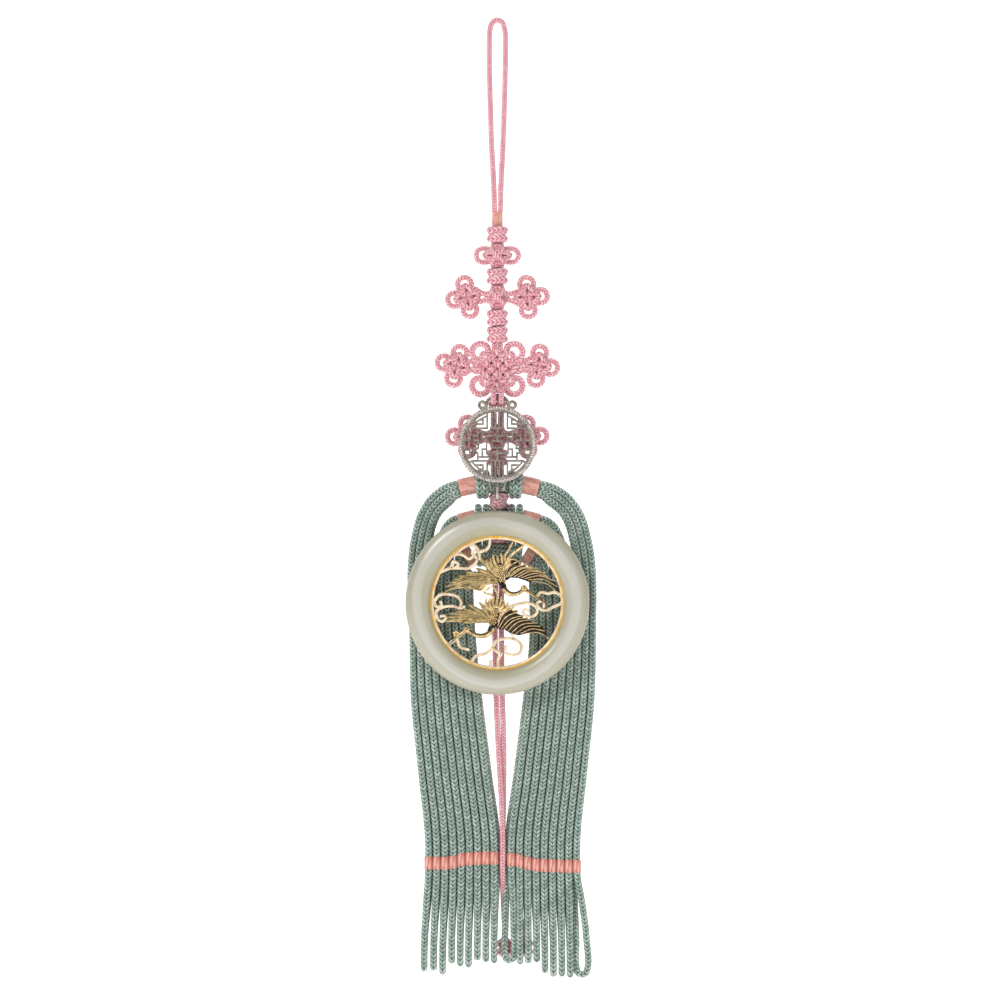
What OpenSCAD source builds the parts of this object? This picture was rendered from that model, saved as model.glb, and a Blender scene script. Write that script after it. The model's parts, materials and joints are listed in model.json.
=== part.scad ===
// Norigae: a knotted silk pendant with a pierced silver disc, a jade ring and a cord tassel.
// Millimetres. +Z is up and the front faces -Y. The origin is the inner top of the hanging loop.

/* [Silk cord] */
// Diameter of the pink cord
pink_d = 2.1; // [1.8:0.1:2.2]
// Diameter of the green cord
green_d = 2.4; // [2:0.1:2.5]
// Clearance between separate pieces
gap = 0.15; // [0.12:0.01:0.2]

/* [Hanging loop] */
// Length of the loop, from its inner top to the binding
loop_len = 70.8; // [60:1:90]
// Inner width of the loop near its top
loop_w = 3.8; // [3:0.2:6]
// Height of the silk thread binding under the loop
binding_h = 5.2; // [4:0.2:7]

/* [Knots] */
// Height of a round double knot
round_h = 6.1; // [5.4:0.1:7]
// Width of a round double knot
round_w = 8.2; // [7.6:0.1:9]
// Width of the round knots between the tassel heads
between_w = 7.6; // [7:0.1:7.7]
// Height of the clover knot's and the wing knots' middles
middle_h = 9.2; // [8.4:0.1:10]
// Reach of a clover's ears from its centre, to the middle of the cord
ear_reach = 7.4; // [7.2:0.1:8.4]
// Reach of the short ear that a side clover is hung by
root_reach = 6.4; // [6.2:0.1:7.2]
// Distance between the lines of the woven square knot
weave_pitch = 2.75; // [2.6:0.05:3]
// Reach of the woven knot's ears beyond its last line
weave_ear = 6.4; // [5:0.2:8]

/* [Silver disc] */
// Outer diameter of the disc, over its rope rim
disc_d = 28.8; // [26:0.2:30]
// Wire diameter of the rope rim
rope_d = 1.4; // [1.2:0.1:1.8]
// Thickness of the pierced plate
plate_t = 1.2; // [0.8:0.1:1.6]
// Width of the plain ring round the fret
disc_ring_w = 0.8; // [0.7:0.1:1.2]
// Width of the fret's bars
fret_w = 0.65; // [0.5:0.05:0.8]
// Wire diameter of the bail
bail_wire = 1.2; // [0.9:0.1:1.3]
// Distance between the bail's feet
bail_w = 8.4; // [8:0.2:10]
// Height of the bail's arch above the rope rim
bail_h = 4.7; // [4.6:0.1:6]
// Radius of the scrolls beside the bail
scroll_r = 1.2; // [1:0.1:1.4]
// Wire diameter of the lower hanger
hanger_wire = 0.85; // [0.7:0.05:1]
// Width of the hanger's lower bar
hanger_w = 4.8; // [4:0.2:6]
// Drop of the hanger below the rope rim
hanger_drop = 3.2; // [2.8:0.1:3.6]
// Lean of the disc, whose lower edge stands forward over the tassel
disc_lean = 4; // [3:0.5:6]

/* [Link and eye] */
// Wire diameter of the link
link_wire = 1.1; // [0.9:0.05:1.1]
// Inner length of the link
link_in = 3.9; // [3.7:0.1:4.6]
// Inner width of the link
link_in_w = 1.7; // [1.6:0.1:2.2]
// Wire diameter of the jade's eye
eye_wire = 0.8; // [0.6:0.05:0.9]
// Outer diameter of the jade's eye
eye_d = 5.6; // [5:0.2:6.4]

/* [Jade ring] */
// Outer diameter of the jade ring
jade_d = 68.6; // [66:0.2:70]
// Inner diameter of the jade ring
jade_in = 50; // [48:0.5:52]
// Thickness of the jade ring
jade_t = 7; // [5:0.2:7]

/* [Crane openwork] */
// Thickness of the cast plate
cast_t = 1.2; // [0.8:0.1:1.6]
// Height of the relief on its front
relief_t = 0.5; // [0.3:0.1:0.8]
// Width of the rim
cast_rim = 1.2; // [0.8:0.1:1.6]
// Width of the cloud bands
cloud_w = 1.2; // [0.9:0.05:1.4]

/* [Tassel] */
// Distance between the three tassel heads
tier_pitch = 12.7; // [12.4:0.1:14]
// Outer diameter of the heads' coils
coil_d = 10.4; // [10:0.1:10.6]
// Width of each head, over its coils
head_w = 17.4; // [16.6:0.2:17.6]
// Outer diameter of a thread wrap
wrap_d = 6.8; // [6.4:0.1:7]
// Wall of the thread wraps and bands
thread_t = 0.2; // [0.15:0.01:0.22]
// Width of the tassel at its widest, between the middles of its outermost strands
tassel_w = 67.4; // [66:0.2:70]
// Drop from the lowest head to the bands round the strand pairs
band_drop = 115; // [104:1:124]
// Height of the bands round the strand pairs
band_h = 4.8; // [4:0.2:6]
// Length of the loops below the bands
loop_drop = 38; // [30:1:46]
// Diameter of the centre cords' end knots
end_knot_d = 6.4; // [5.6:0.2:7]

/* [Hidden] */
$fn = 48;

PINK = "lightpink";
GREEN = "cadetblue";
SALMON = "salmon";
SILVER = "silver";
JADE = "honeydew";
GOLD = "goldenrod";

pink_r = pink_d / 2;
green_r = green_d / 2;

// The string of knots from the top down, each starting a gap below the one above
z_binding = -loop_len;
z_round_1 = z_binding - binding_h - gap;
z_clover = z_round_1 - round_h - gap;
z_round_2 = z_clover - middle_h - gap;
z_wing_upper = z_round_2 - round_h - gap;
z_round_3 = z_wing_upper - middle_h - gap;
z_round_4 = z_round_3 - round_h - gap;
weave_half = 1.5 * weave_pitch;
weave_corner = weave_half * sqrt(2);
weave_lead = 1.5 * pink_r;
z_weave = z_round_4 - round_h - gap - weave_corner - weave_lead - pink_r;

// The disc hangs by its bail in front of the lower knots, which sit further back
back_y = 1.5;
bail_y = -3.2;
bail_below = 5.2;
z_bail = z_weave - weave_corner - bail_below;
disc_r = disc_d / 2;
disc_z = bail_wire / 2 - bail_h - disc_r;
hanger_z = disc_z - disc_r - hanger_drop + hanger_wire / 2;
z_wing_lower = z_bail - 10.9;
z_round_5 = z_wing_lower - middle_h - gap;

// The pendant hangs from the link, clear in front of the tassel heads
jade_clear = 0.35;
jade_y = back_y - coil_d / 2 - jade_clear - jade_t / 2;
bar_y = bail_y + hanger_z * sin(disc_lean);
bar_z = z_bail + hanger_z * cos(disc_lean);
link_seat = 0.12;
link_reach = link_in - hanger_wire / 2 - eye_wire / 2 - 2 * link_seat;
link_tilt = asin((bar_y - jade_y) / link_reach);
pivot_z = bar_z - link_reach * cos(link_tilt);
eye_z = pivot_z + eye_wire / 2 - eye_d / 2;
peg_r = 0.35;
peg_len = 2.6;
jade_top = eye_z - eye_d / 2 - 2 * gap;
jade_z = jade_top - jade_d / 2;

// The three tassel heads hang a little right of the middle, and their strands further right
core_r = 3.1;
head_x = 0.6;
tassel_x = 2;
head_rise = 0.2;
z_head_1 = z_bail - bail_h - disc_d + head_rise;
stem_h = z_round_5 - round_h - (z_head_1 + core_r + gap);
SIDES = [-1, 1];

// Shape helpers

function unit(v) = v / norm(v);

function tangent(path, i, closed) =
    let(n = len(path),
        before = closed ? path[(i + n - 1) % n] : path[max(i - 1, 0)],
        after = closed ? path[(i + 1) % n] : path[min(i + 1, n - 1)])
    unit(after - before);

function ring(centre, along, r, sides, toward) =
    let(u = unit(toward - (toward * along) * along), v = cross(along, u))
    [for (k = [0:sides - 1]) let(a = 360 * (k + 0.5) / sides) centre + r * (cos(a) * u + sin(a) * v)];

function spline_at(a, b, c, d, t) =
    b + 0.5 * t * ((c - a) + t * ((2 * a - 5 * b + 4 * c - d) + t * (3 * (b - c) + d - a)));

function smooth(p, steps) =
    let(n = len(p))
    [for (i = [0:n - 2], s = [0:steps - 1])
        spline_at(p[max(i - 1, 0)], p[i], p[i + 1], p[min(i + 2, n - 1)], s / steps), p[n - 1]];

function smooth_loop(p, steps) =
    let(n = len(p))
    [for (i = [0:n - 1], s = [0:steps - 1])
        spline_at(p[(i + n - 1) % n], p[i], p[(i + 1) % n], p[(i + 2) % n], s / steps)];

// A cord of radius r along a path, kept from twisting by one reference direction
module tube(path, r, sides = 6, toward = [0, 1, 0], closed = false) {
    n = len(path);
    points = [for (i = [0:n - 1]) each ring(path[i], tangent(path, i, closed), r, sides, toward)];
    walls = [for (i = [0:n - (closed ? 1 : 2)], k = [0:sides - 1])
        let(next = (i + 1) % n, a = i * sides + k, b = i * sides + (k + 1) % sides,
            c = next * sides + (k + 1) % sides, d = next * sides + k)
        each [[a, d, c], [a, c, b]]];
    ends = closed ? [] : [[for (k = [0:sides - 1]) k], [for (k = [sides - 1:-1:0]) (n - 1) * sides + k]];
    polyhedron(points, concat(walls, ends), convexity = 10);
}

// Knots

// A knot's body: turns of cord laid one on another round a core, from its top downward
module coils(h, w, turns, stem = 0) {
    r = h / turns / 2;
    rotate_extrude() {
        translate([0, -h - stem]) square([pink_d * 0.9, h + stem - pink_r / 2]);
        for (i = [0:turns - 1]) translate([w / 2 - r, -r - 2 * i * r]) circle(r);
        translate([0, -h + r * 0.6]) square([w / 2 - r * 0.8, h - r * 1.2]);
    }
}

module round_knot(z, x = 0, y = 0, w = round_w, stem = 0)
    color(PINK) translate([x, y, z]) coils(round_h, w, 2, stem);

// One turn of a clover passes its four ears in the order right, bottom, left, top
clover_mid = 4.1;
clover_hole = 0.76 * pink_d;
clover_lift = 0.91 * pink_d;
clover_pinch = 3;
clover_steps = 60;
clover_rounds = 3;

function lift(s) = clover_lift * sign(s) * pow(abs(s), 0.7);

function clover_path(reach) =
    [for (i = [0:clover_steps - 1])
        let(t = 360 * clover_rounds * i / clover_steps,
            c = cos(4 * t / 3),
            ear = floor((t + 135) / 270) % 4,
            r = clover_mid + c * (c > 0 ? reach[ear] - clover_mid : clover_mid - clover_hole),
            a = t - clover_pinch * sin(4 * t / 3))
        [r * cos(a), lift(sin(8 * t / 3)), r * sin(a)]];

// A side clover, hung by its short ear a gap beyond the half width of the knot that holds it
module side_clover(side, z, edge, turn, y = 0)
    color(PINK)
    translate([side * (edge + gap + pink_r + root_reach), y, z])
    mirror([side < 0 ? 1 : 0, 0, 0])
    rotate([0, turn, 0])
    tube(clover_path([ear_reach, ear_reach, root_reach, ear_reach]), pink_r, closed = true);

// An ear: a bight of cord that leaves the knot's middle and comes back into it
module ear(side, reach, r) {
    path = [[2.4, 0, 1.6], [4, 0, r + 0.1], [reach - r, 0, r + 0.2], [reach - 0.3 * r, 0, 0.72 * r],
        [reach, 0, 0], [reach - 0.3 * r, 0, -0.72 * r], [reach - r, 0, -r - 0.2], [4, 0, -r - 0.1],
        [2.4, 0, -1.6]];
    mirror([side < 0 ? 1 : 0, 0, 0]) tube(smooth(path, 2), pink_r);
}

module clover_knot()
    color(PINK) {
        translate([0, 0, z_clover]) coils(middle_h, round_w, 4);
        for (side = SIDES) translate([0, 0, z_clover - middle_h / 2]) ear(side, ear_reach + 0.5, 2.4);
    }

module wing_knot(z, y) color(PINK) translate([0, y, z]) coils(middle_h, round_w, 5);

// The woven knot: four lines each way, over and under, turned to stand on a corner
weave_lift = pink_r + gap / 2;

function weave_y(i, j) = weave_lift * ((i + j) % 2 == 0 ? 1 : -1);

function line_u(i, over) =
    [for (j = [0:0.5:3]) [(j - 1.5) * weave_pitch, over * weave_lift * cos(180 * j + 180 * i),
        (i - 1.5) * weave_pitch]];

function swap(p) = [for (q = p) [q[2], q[1], q[0]]];

function back(p) = [for (i = [len(p) - 1:-1:0]) p[i]];

// The bight that joins lines 1 and 2 beyond the last crossing
function weave_bight(side) =
    let(x = side * weave_half, w = weave_pitch / 2)
    [[x + side * 1.6, 0, -w - 0.1], [x + side * 0.55 * weave_ear, 0, -w - 1.2],
        [x + side * 0.9 * weave_ear, 0, -w - 0.4], [x + side * weave_ear, 0, 0],
        [x + side * 0.9 * weave_ear, 0, w + 0.4], [x + side * 0.55 * weave_ear, 0, w + 1.2],
        [x + side * 1.6, 0, w + 0.1]];

weave_ring = concat(line_u(1, 1), weave_bight(1), back(line_u(2, 1)), back(weave_bight(-1)));

// A strand comes in at the top corner, turns at a side corner and leaves at the bottom corner
weave_strand =
    let(far = weave_half, out = weave_half + weave_lead)
    concat([[out, 0, far]], back(line_u(3, 1)),
        [[-far - 1.4, 0, far + 0.2], [-far - 1.7, 0, far + 1.7], [-far - 0.2, 0, far + 1.4]],
        swap(back(line_u(0, -1))), [[-far, 0, -out]]);

module woven_knot()
    color(PINK) translate([0, 0, z_weave]) rotate([0, -45, 0]) {
        tube(weave_ring, pink_r, closed = true);
        tube(swap(back([for (p = weave_ring) [p[0], -p[1], p[2]]])), pink_r, closed = true);
        tube(weave_strand, pink_r);
        tube(swap(back([for (p = weave_strand) [p[0], -p[1], p[2]]])), pink_r);
    }

// Hanging loop

loop_half = loop_w / 2 + pink_r;
LOOP_ROUTE = [
    [-1.15, 0, -70.8], [-1.2, 0, -66], [-1.6, 0, -56], [-2.2, 0, -44], [-2.6, 0, -32],
    [-2.9, 0, -20], [-3, 0, -9], [-2.8, 0, -3], [-1.8, 0, 0.1], [0, 0, 1.05],
    [1.8, 0, 0.1], [2.8, 0, -3], [3, 0, -9], [2.9, 0, -20], [2.6, 0, -32],
    [2.2, 0, -44], [1.6, 0, -56], [1.2, 0, -66], [1.15, 0, -70.8]
];

module hanging_loop() color(PINK) tube(smooth(LOOP_ROUTE, 2), pink_r, 8);

module loop_binding()
    color(SALMON) translate([0, 0, z_binding - binding_h]) {
        linear_extrude(binding_h - gap) for (side = SIDES) {
            translate([side * 1.15, 0]) circle(pink_r - 0.2);
        }
        linear_extrude(binding_h - gap) square([2.3, 2 * pink_r - 0.4], center = true);
    }

// The two cords that the bail hangs on: over the arch, down its front and back through it
BAIL_ROUTE = [
    [1.15, 3.2, 3.05], [1.2, 3.1, 2.5], [1.35, 2.5, 2.05], [1.45, 1.4, 1.95], [1.5, 0, 2],
    [1.5, -1.4, 1.5], [1.5, -2.1, 0.2], [1.5, -1.85, -1.3], [1.5, -0.7, -2.35],
    [1.45, 0.9, -2.65], [1.4, 2.3, -3.2], [1.3, 3.5, -4.7], [1.2, 4.3, -6.8],
    [1.15, 4.7, -9], [1.15, 4.7, -10.75]
];

module bail_cord(side)
    color(PINK) translate([0, bail_y, z_bail]) mirror([side < 0 ? 1 : 0, 0, 0])
    tube(smooth(BAIL_ROUTE, 2), pink_r, 6, [1, 0, 0]);

// Silver disc, in a frame whose origin is the top of the bail's arch

module on_disc() translate([0, bail_y, z_bail]) rotate([-disc_lean, 0, 0]) children();

// Lays a flat shape drawn as x and z on the XZ plane, with its thickness centred on it
module upright(t) rotate([90, 0, 0]) translate([0, 0, -t / 2]) linear_extrude(t) children();

module bar(x0, z0, x1, z1, w)
    translate([x0, z0]) rotate(atan2(z1 - z0, x1 - x0)) translate([-w / 2, -w / 2])
    square([norm([x1 - x0, z1 - z0]) + w, w]);

fret_r = disc_r - rope_d - disc_ring_w;

// The fret's bars in one quarter, as shares of the fret's radius: x and z of both ends
FRET = [
    [0.06, 0.5, 0.06, 1], [0.18, 0.5, 0.18, 1], [0.31, 0.5, 0.31, 0.97],
    [0, 0.5, 0.18, 0.5], [0.31, 0.5, 0.78, 0.5], [0.44, 0.63, 0.66, 0.63], [0.44, 0.63, 0.44, 0.76],
    [0.55, 0.76, 0.44, 0.76], [0, 0.26, 0, 0.5], [0, 0.26, 0.33, 0.26], [0.33, 0, 0.33, 0.26],
    [0, 0.1, 0.15, 0.1], [0.15, 0, 0.15, 0.1], [0, 0.1, 0, 0.26], [0.33, 0.14, 0.46, 0.14],
    [0.46, 0.14, 0.46, 0.38], [0.2, 0.38, 0.6, 0.38], [0.6, 0.26, 0.6, 0.5], [0.6, 0.26, 0.72, 0.26],
    [0.72, 0.12, 0.72, 0.26], [0.58, 0.12, 0.72, 0.12], [0.58, 0, 0.58, 0.12], [0.58, 0, 0.72, 0],
    [0.84, 0.38, 0.94, 0.38], [0.84, 0.12, 0.84, 0.38], [0.84, 0.12, 1, 0.12]
];
FRET_ARC = [0.93, 33, 70];

module fret_quarter() {
    for (b = FRET) bar(b[0] * fret_r, b[1] * fret_r, b[2] * fret_r, b[3] * fret_r, fret_w);
    steps = 8;
    arc = [for (i = [0:steps]) let(a = FRET_ARC[1] + (FRET_ARC[2] - FRET_ARC[1]) * i / steps)
        FRET_ARC[0] * fret_r * [cos(a), sin(a)]];
    for (i = [0:steps - 1]) bar(arc[i][0], arc[i][1], arc[i + 1][0], arc[i + 1][1], fret_w);
    bar(arc[0][0], arc[0][1], 1.05 * arc[0][0], 1.05 * arc[0][1], fret_w);
}

module fret_flat()
    intersection() {
        for (mx = [0, 1], mz = [0, 1]) mirror([mx, 0]) mirror([0, mz]) fret_quarter();
        circle(fret_r + disc_ring_w / 2);
    }

// A straight wire, and the drop of solder on its end
module wire(a, b, d) {
    v = b - a;
    translate(a) rotate([0, acos(v[2] / norm(v)), atan2(v[1], v[0])]) cylinder(d = d, h = norm(v));
}

module solder(at, d) translate(at) sphere(d = 1.12 * d);

// An arc of wire on the XZ plane, from angle a0 through the sweep
module wire_arc(r, a0, sweep, d)
    rotate([90, 0, 0]) rotate(a0) rotate_extrude(angle = sweep) translate([r, 0]) circle(d = d);

scroll_end = 150;

module bail() {
    r = bail_w / 2;
    squeeze = bail_h - bail_wire / 2;
    foot = disc_z + sqrt(pow(disc_r - rope_d / 2, 2) - r * r);
    translate([0, 0, -r]) wire_arc(r, 0, 180, bail_wire);
    for (side = SIDES) {
        wire([side * r, 0, -r], [side * r, 0, foot], bail_wire);
        translate([side * (r + scroll_r + 0.2), 0, foot + scroll_r + bail_wire / 2])
            mirror([side < 0 ? 1 : 0, 0, 0]) {
                wire_arc(scroll_r, -scroll_end, 2 * scroll_end, bail_wire);
                solder([scroll_r * cos(scroll_end), 0, scroll_r * sin(scroll_end)], bail_wire);
            }
        translate([side * r, 0, foot]) sphere(d = 1.35 * rope_d);
    }
}

module hanger() {
    top = disc_z - sqrt(pow(disc_r - rope_d / 2, 2) - pow(hanger_w / 2 + 0.8, 2));
    for (side = SIDES) {
        wire([side * (hanger_w / 2 + 0.8), 0, top], [side * hanger_w / 2, 0, hanger_z], hanger_wire);
        solder([side * hanger_w / 2, 0, hanger_z], hanger_wire);
    }
    wire([-hanger_w / 2, 0, hanger_z], [hanger_w / 2, 0, hanger_z], hanger_wire);
}

module silver_disc()
    color(SILVER) on_disc() {
        translate([0, 0, disc_z]) {
            upright(plate_t) offset(delta = 0.02) fret_flat();
            rotate([90, 0, 0]) rotate_extrude() translate([disc_r - rope_d / 2, 0]) circle(d = rope_d);
            rotate([90, 0, 0]) rotate_extrude() translate([fret_r, -plate_t / 2])
                square([disc_r - rope_d / 2 - fret_r, plate_t]);
        }
        bail();
        hanger();
    }

// The link hangs on the hanger's bar and leans forward to hold the jade's eye
module hanger_link() {
    r = (link_in_w + link_wire) / 2;
    half = link_in / 2 + link_wire / 2 - r;
    color(SILVER) translate([0, (bar_y + jade_y) / 2, (bar_z + pivot_z) / 2 + 0.03])
        rotate([-link_tilt, 0, 0]) rotate([0, 0, 90]) {
            for (side = SIDES) {
                translate([side * r, 0, -half]) cylinder(d = link_wire, h = 2 * half);
                translate([0, 0, side * half]) wire_arc(r, side > 0 ? 0 : 180, 180, link_wire);
            }
        }
}

// The eye is one wire, bent round from its free end to the leg that goes down into the jade
eye_r = (eye_d - eye_wire) / 2;
eye_free = -72;
eye_leg = 232;
peg_x = -0.9;

module jade_eye() {
    last = eye_r * [cos(eye_leg), sin(eye_leg)];
    top = -eye_d / 2;
    color(SILVER) translate([0, jade_y, eye_z]) {
        wire_arc(eye_r, eye_free, eye_leg - eye_free, eye_wire);
        solder([eye_r * cos(eye_free), 0, eye_r * sin(eye_free)], eye_wire);
        solder([last[0], 0, last[1]], eye_wire);
        wire([last[0], 0, last[1]], [peg_x, 0, top], eye_wire);
        solder([peg_x, 0, top], eye_wire);
        translate([peg_x, 0, top - 2 * gap - peg_len]) cylinder(r = peg_r, h = peg_len + 2 * gap);
    }
}

// Half of the jade's section: share of the width from the bore outward, share of half the thickness
JADE_SECTION = [
    [0, 0.4], [0.05, 0.62], [0.16, 0.84], [0.32, 0.97], [0.5, 1], [0.68, 0.93], [0.83, 0.74],
    [0.94, 0.46], [1, 0.16]
];

module jade_ring() {
    width = (jade_d - jade_in) / 2;
    front = [for (s = JADE_SECTION) [jade_in / 2 + s[0] * width, s[1] * jade_t / 2]];
    rear = [for (i = [len(front) - 1:-1:0]) [front[i][0], -front[i][1]]];
    color(JADE) difference() {
        translate([0, jade_y, jade_z]) rotate([90, 0, 0]) rotate_extrude() polygon(concat(front, rear));
        translate([peg_x, jade_y, jade_top - peg_len - 2 * gap]) cylinder(r = peg_r + gap, h = peg_len + 3);
    }
}

// Crane openwork, in a frame whose origin is the middle of the jade ring. Its tables are in
// shares of the rim's radius, with x to the right and the second number up.

cast_r = jade_in / 2 - gap;

// A band of changing width along a smoothed line
module ribbon(line, w0, w1, steps = 2) {
    p = smooth(line, steps);
    n = len(p);
    side = [for (i = [0:n - 1])
        let(t = unit(p[min(i + 1, n - 1)] - p[max(i - 1, 0)]), w = (w0 + (w1 - w0) * i / (n - 1)) / 2)
        w * [-t[1], t[0]]];
    polygon(concat([for (i = [0:n - 1]) p[i] + side[i]], [for (i = [n - 1:-1:0]) p[i] - side[i]]));
    translate(p[0]) circle(d = w0, $fn = 8);
}

CLOUDS = [
    [[-0.86, 0.46], [-0.7, 0.52], [-0.55, 0.52], [-0.42, 0.52], [-0.32, 0.6], [-0.3, 0.66]],
    [[-0.69, 0.52], [-0.66, 0.62], [-0.58, 0.57], [-0.62, 0.53]],
    [[-0.64, 0.73], [-0.52, 0.72], [-0.42, 0.66], [-0.34, 0.7], [-0.3, 0.66]],
    [[-0.34, 0.7], [-0.38, 0.76], [-0.32, 0.77]],
    [[-0.44, 0.88], [-0.3, 0.82], [-0.27, 0.72], [-0.26, 0.66]],
    [[-0.27, 0.76], [-0.14, 0.82], [-0.1, 0.98]],
    [[-0.95, 0.02], [-0.86, 0.12], [-0.72, 0.13], [-0.61, 0.1], [-0.54, 0], [-0.56, -0.07]],
    [[-0.95, 0.02], [-0.92, -0.05], [-0.83, -0.04], [-0.85, 0.01]],
    [[-0.9, -0.24], [-0.92, -0.14], [-0.8, -0.06], [-0.66, -0.05], [-0.53, -0.08], [-0.5, -0.06]],
    [[-0.9, -0.24], [-0.83, -0.28], [-0.77, -0.23], [-0.8, -0.19], [-0.84, -0.2]],
    [[0.94, 0.12], [0.86, 0.16], [0.76, 0.14], [0.66, 0.16], [0.6, 0.1]],
    [[0.94, -0.02], [0.84, -0.06], [0.74, -0.11], [0.64, -0.09], [0.6, 0], [0.7, 0.02], [0.7, -0.05]],
    [[0.94, 0.12], [0.98, 0.05], [0.94, -0.02]],
    [[0.16, -0.06], [0.28, -0.03], [0.4, 0], [0.5, -0.01], [0.58, -0.06], [0.6, -0.14], [0.54, -0.2],
        [0.46, -0.2], [0.39, -0.16], [0.4, -0.1], [0.46, -0.11]],
    [[-0.4, -0.9], [-0.32, -0.8], [-0.18, -0.76], [-0.08, -0.68], [-0.02, -0.58], [0.1, -0.54],
        [0.24, -0.54], [0.36, -0.64], [0.34, -0.74], [0.22, -0.78], [0.12, -0.74], [0.13, -0.66]],
    [[0.24, -0.54], [0.22, -0.48]],
    [[0.06, -0.76], [-0.02, -0.72], [-0.08, -0.68]],
    [[0.07, -0.74], [0.01, -0.86], [0.02, -0.98]],
    [[0, -0.98], [-0.1, -0.96], [-0.1, -0.88]],
    [[-0.72, -0.62], [-0.6, -0.52], [-0.5, -0.44]],
    [[-0.6, -0.54], [-0.56, -0.66], [-0.44, -0.7]]
];

// Each wing: its root, then its outline round the feather tips
WINGS = [
    [[0.04, 0.32], [[0.02, 0.58], [-0.26, 0.66], [-0.16, 0.5], [-0.3, 0.48], [-0.26, 0.45], [-0.47, 0.46],
        [-0.36, 0.39], [-0.59, 0.4], [-0.46, 0.33], [-0.72, 0.3], [-0.5, 0.27], [-0.78, 0.17],
        [-0.62, 0.22], [-0.42, 0.23], [-0.24, 0.19], [-0.14, 0.28], [0, 0.28]]],
    [[0.12, 0.34], [[0.1, 0.6], [0.2, 0.66], [0.32, 0.66], [0.38, 0.6], [0.42, 0.59], [0.44, 0.56],
        [0.6, 0.54], [0.52, 0.48], [0.73, 0.46], [0.66, 0.42], [0.92, 0.28], [0.72, 0.38], [0.6, 0.37],
        [0.48, 0.3], [0.38, 0.34], [0.26, 0.38], [0.14, 0.34], [0.1, 0.28]]],
    [[-0.06, -0.32], [[-0.05, -0.02], [-0.14, 0.02], [-0.12, -0.08], [-0.28, 0.02], [-0.22, -0.1],
        [-0.44, -0.02], [-0.34, -0.12], [-0.52, -0.08], [-0.42, -0.16], [-0.72, -0.16], [-0.52, -0.22],
        [-0.78, -0.28], [-0.56, -0.28], [-0.4, -0.3], [-0.3, -0.26], [-0.14, -0.25], [-0.1, -0.36]]],
    [[-0.02, -0.34], [[0.08, -0.12], [0.18, -0.06], [0.22, -0.12], [0.32, -0.12], [0.3, -0.16],
        [0.42, -0.18], [0.4, -0.22], [0.52, -0.24], [0.5, -0.28], [0.66, -0.34], [0.6, -0.37],
        [0.78, -0.52], [0.56, -0.42], [0.42, -0.42], [0.26, -0.48], [0.1, -0.4], [-0.02, -0.4]]]
];

// Feather lines on each wing, from the root to a share of the rim's radius
FEATHERS = [
    [[-0.12, 0.56], [-0.22, 0.46], [-0.38, 0.42], [-0.5, 0.37], [-0.6, 0.29], [-0.68, 0.21]],
    [[0.18, 0.62], [0.28, 0.62], [0.38, 0.56], [0.5, 0.5], [0.62, 0.43], [0.78, 0.37]],
    [[-0.1, -0.04], [-0.22, -0.04], [-0.34, -0.08], [-0.44, -0.12], [-0.58, -0.18], [-0.68, -0.26]],
    [[0.14, -0.1], [0.26, -0.13], [0.38, -0.19], [0.48, -0.26], [0.58, -0.34], [0.68, -0.45]]
];

// Body, neck and head of each crane: line, width at the start, width at the end
BODIES = [
    [[[0.04, 0.6], [0.05, 0.45], [0.07, 0.3], [0.1, 0.2], [0.2, 0.13], [0.3, 0.16], [0.38, 0.22]], 3.2, 1.3],
    [[[0.38, 0.22], [0.44, 0.16], [0.56, 0.1], [0.75, -0.02]], 1.9, 0.5],
    [[[-0.02, -0.08], [-0.03, -0.2], [-0.07, -0.34], [-0.14, -0.46], [-0.26, -0.48], [-0.38, -0.42],
        [-0.44, -0.38]], 3, 1.3],
    [[[-0.47, -0.4], [-0.54, -0.46], [-0.62, -0.52], [-0.72, -0.62]], 1.9, 0.5]
];

// Tail plumes and legs
PLUMES = [
    [[[0.06, 0.62], [0.16, 0.78], [0.24, 0.92]], 1, 0.7],
    [[[0.1, 0.6], [0.22, 0.72], [0.4, 0.86]], 1.1, 0.7],
    [[[-0.1, 0.24], [-0.2, 0.16], [-0.06, 0.1], [-0.06, -0.04]], 0.8, 0.8],
    [[[-0.08, 0.26], [0, 0.14], [-0.02, 0]], 0.8, 0.8]
];

// Tail fans: centre, reach, first angle, last angle
TAILS = [[[0.05, 0.5], 0.24, 55, 140], [[-0.03, -0.1], 0.22, 35, 120]];

module tail_fan(t) {
    for (i = [0:6]) {
        a = t[2] + (t[3] - t[2]) * i / 6;
        ribbon([cast_r * t[0], cast_r * (t[0] + t[1] * [cos(a), sin(a)])], 1, 0.35, 1);
    }
}

module petal_flower(at, r) for (a = [90:72:378]) translate(cast_r * at + r * [cos(a), sin(a)]) circle(r = 0.75 * r, $fn = 12);

module cranes_flat() {
    for (w = WINGS) polygon(cast_r * concat([w[0]], w[1]));
    for (b = concat(BODIES, PLUMES)) ribbon(cast_r * b[0], b[1], b[2]);
    for (t = TAILS) tail_fan(t);
    for (at = [[0.38, 0.22], [-0.46, -0.38]]) translate(cast_r * at) circle(1.1, $fn = 12);
}

module relief_flat() {
    for (i = [0:len(WINGS) - 1], f = FEATHERS[i])
        ribbon([cast_r * WINGS[i][0], cast_r * (0.5 * WINGS[i][0] + 0.5 * f) + [0, 0.5], cast_r * f], 0.55, 0.35);
    for (b = BODIES) ribbon(cast_r * b[0], 0.7 * b[1], 0.6 * b[2]);
    for (t = TAILS) tail_fan(t);
}

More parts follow.
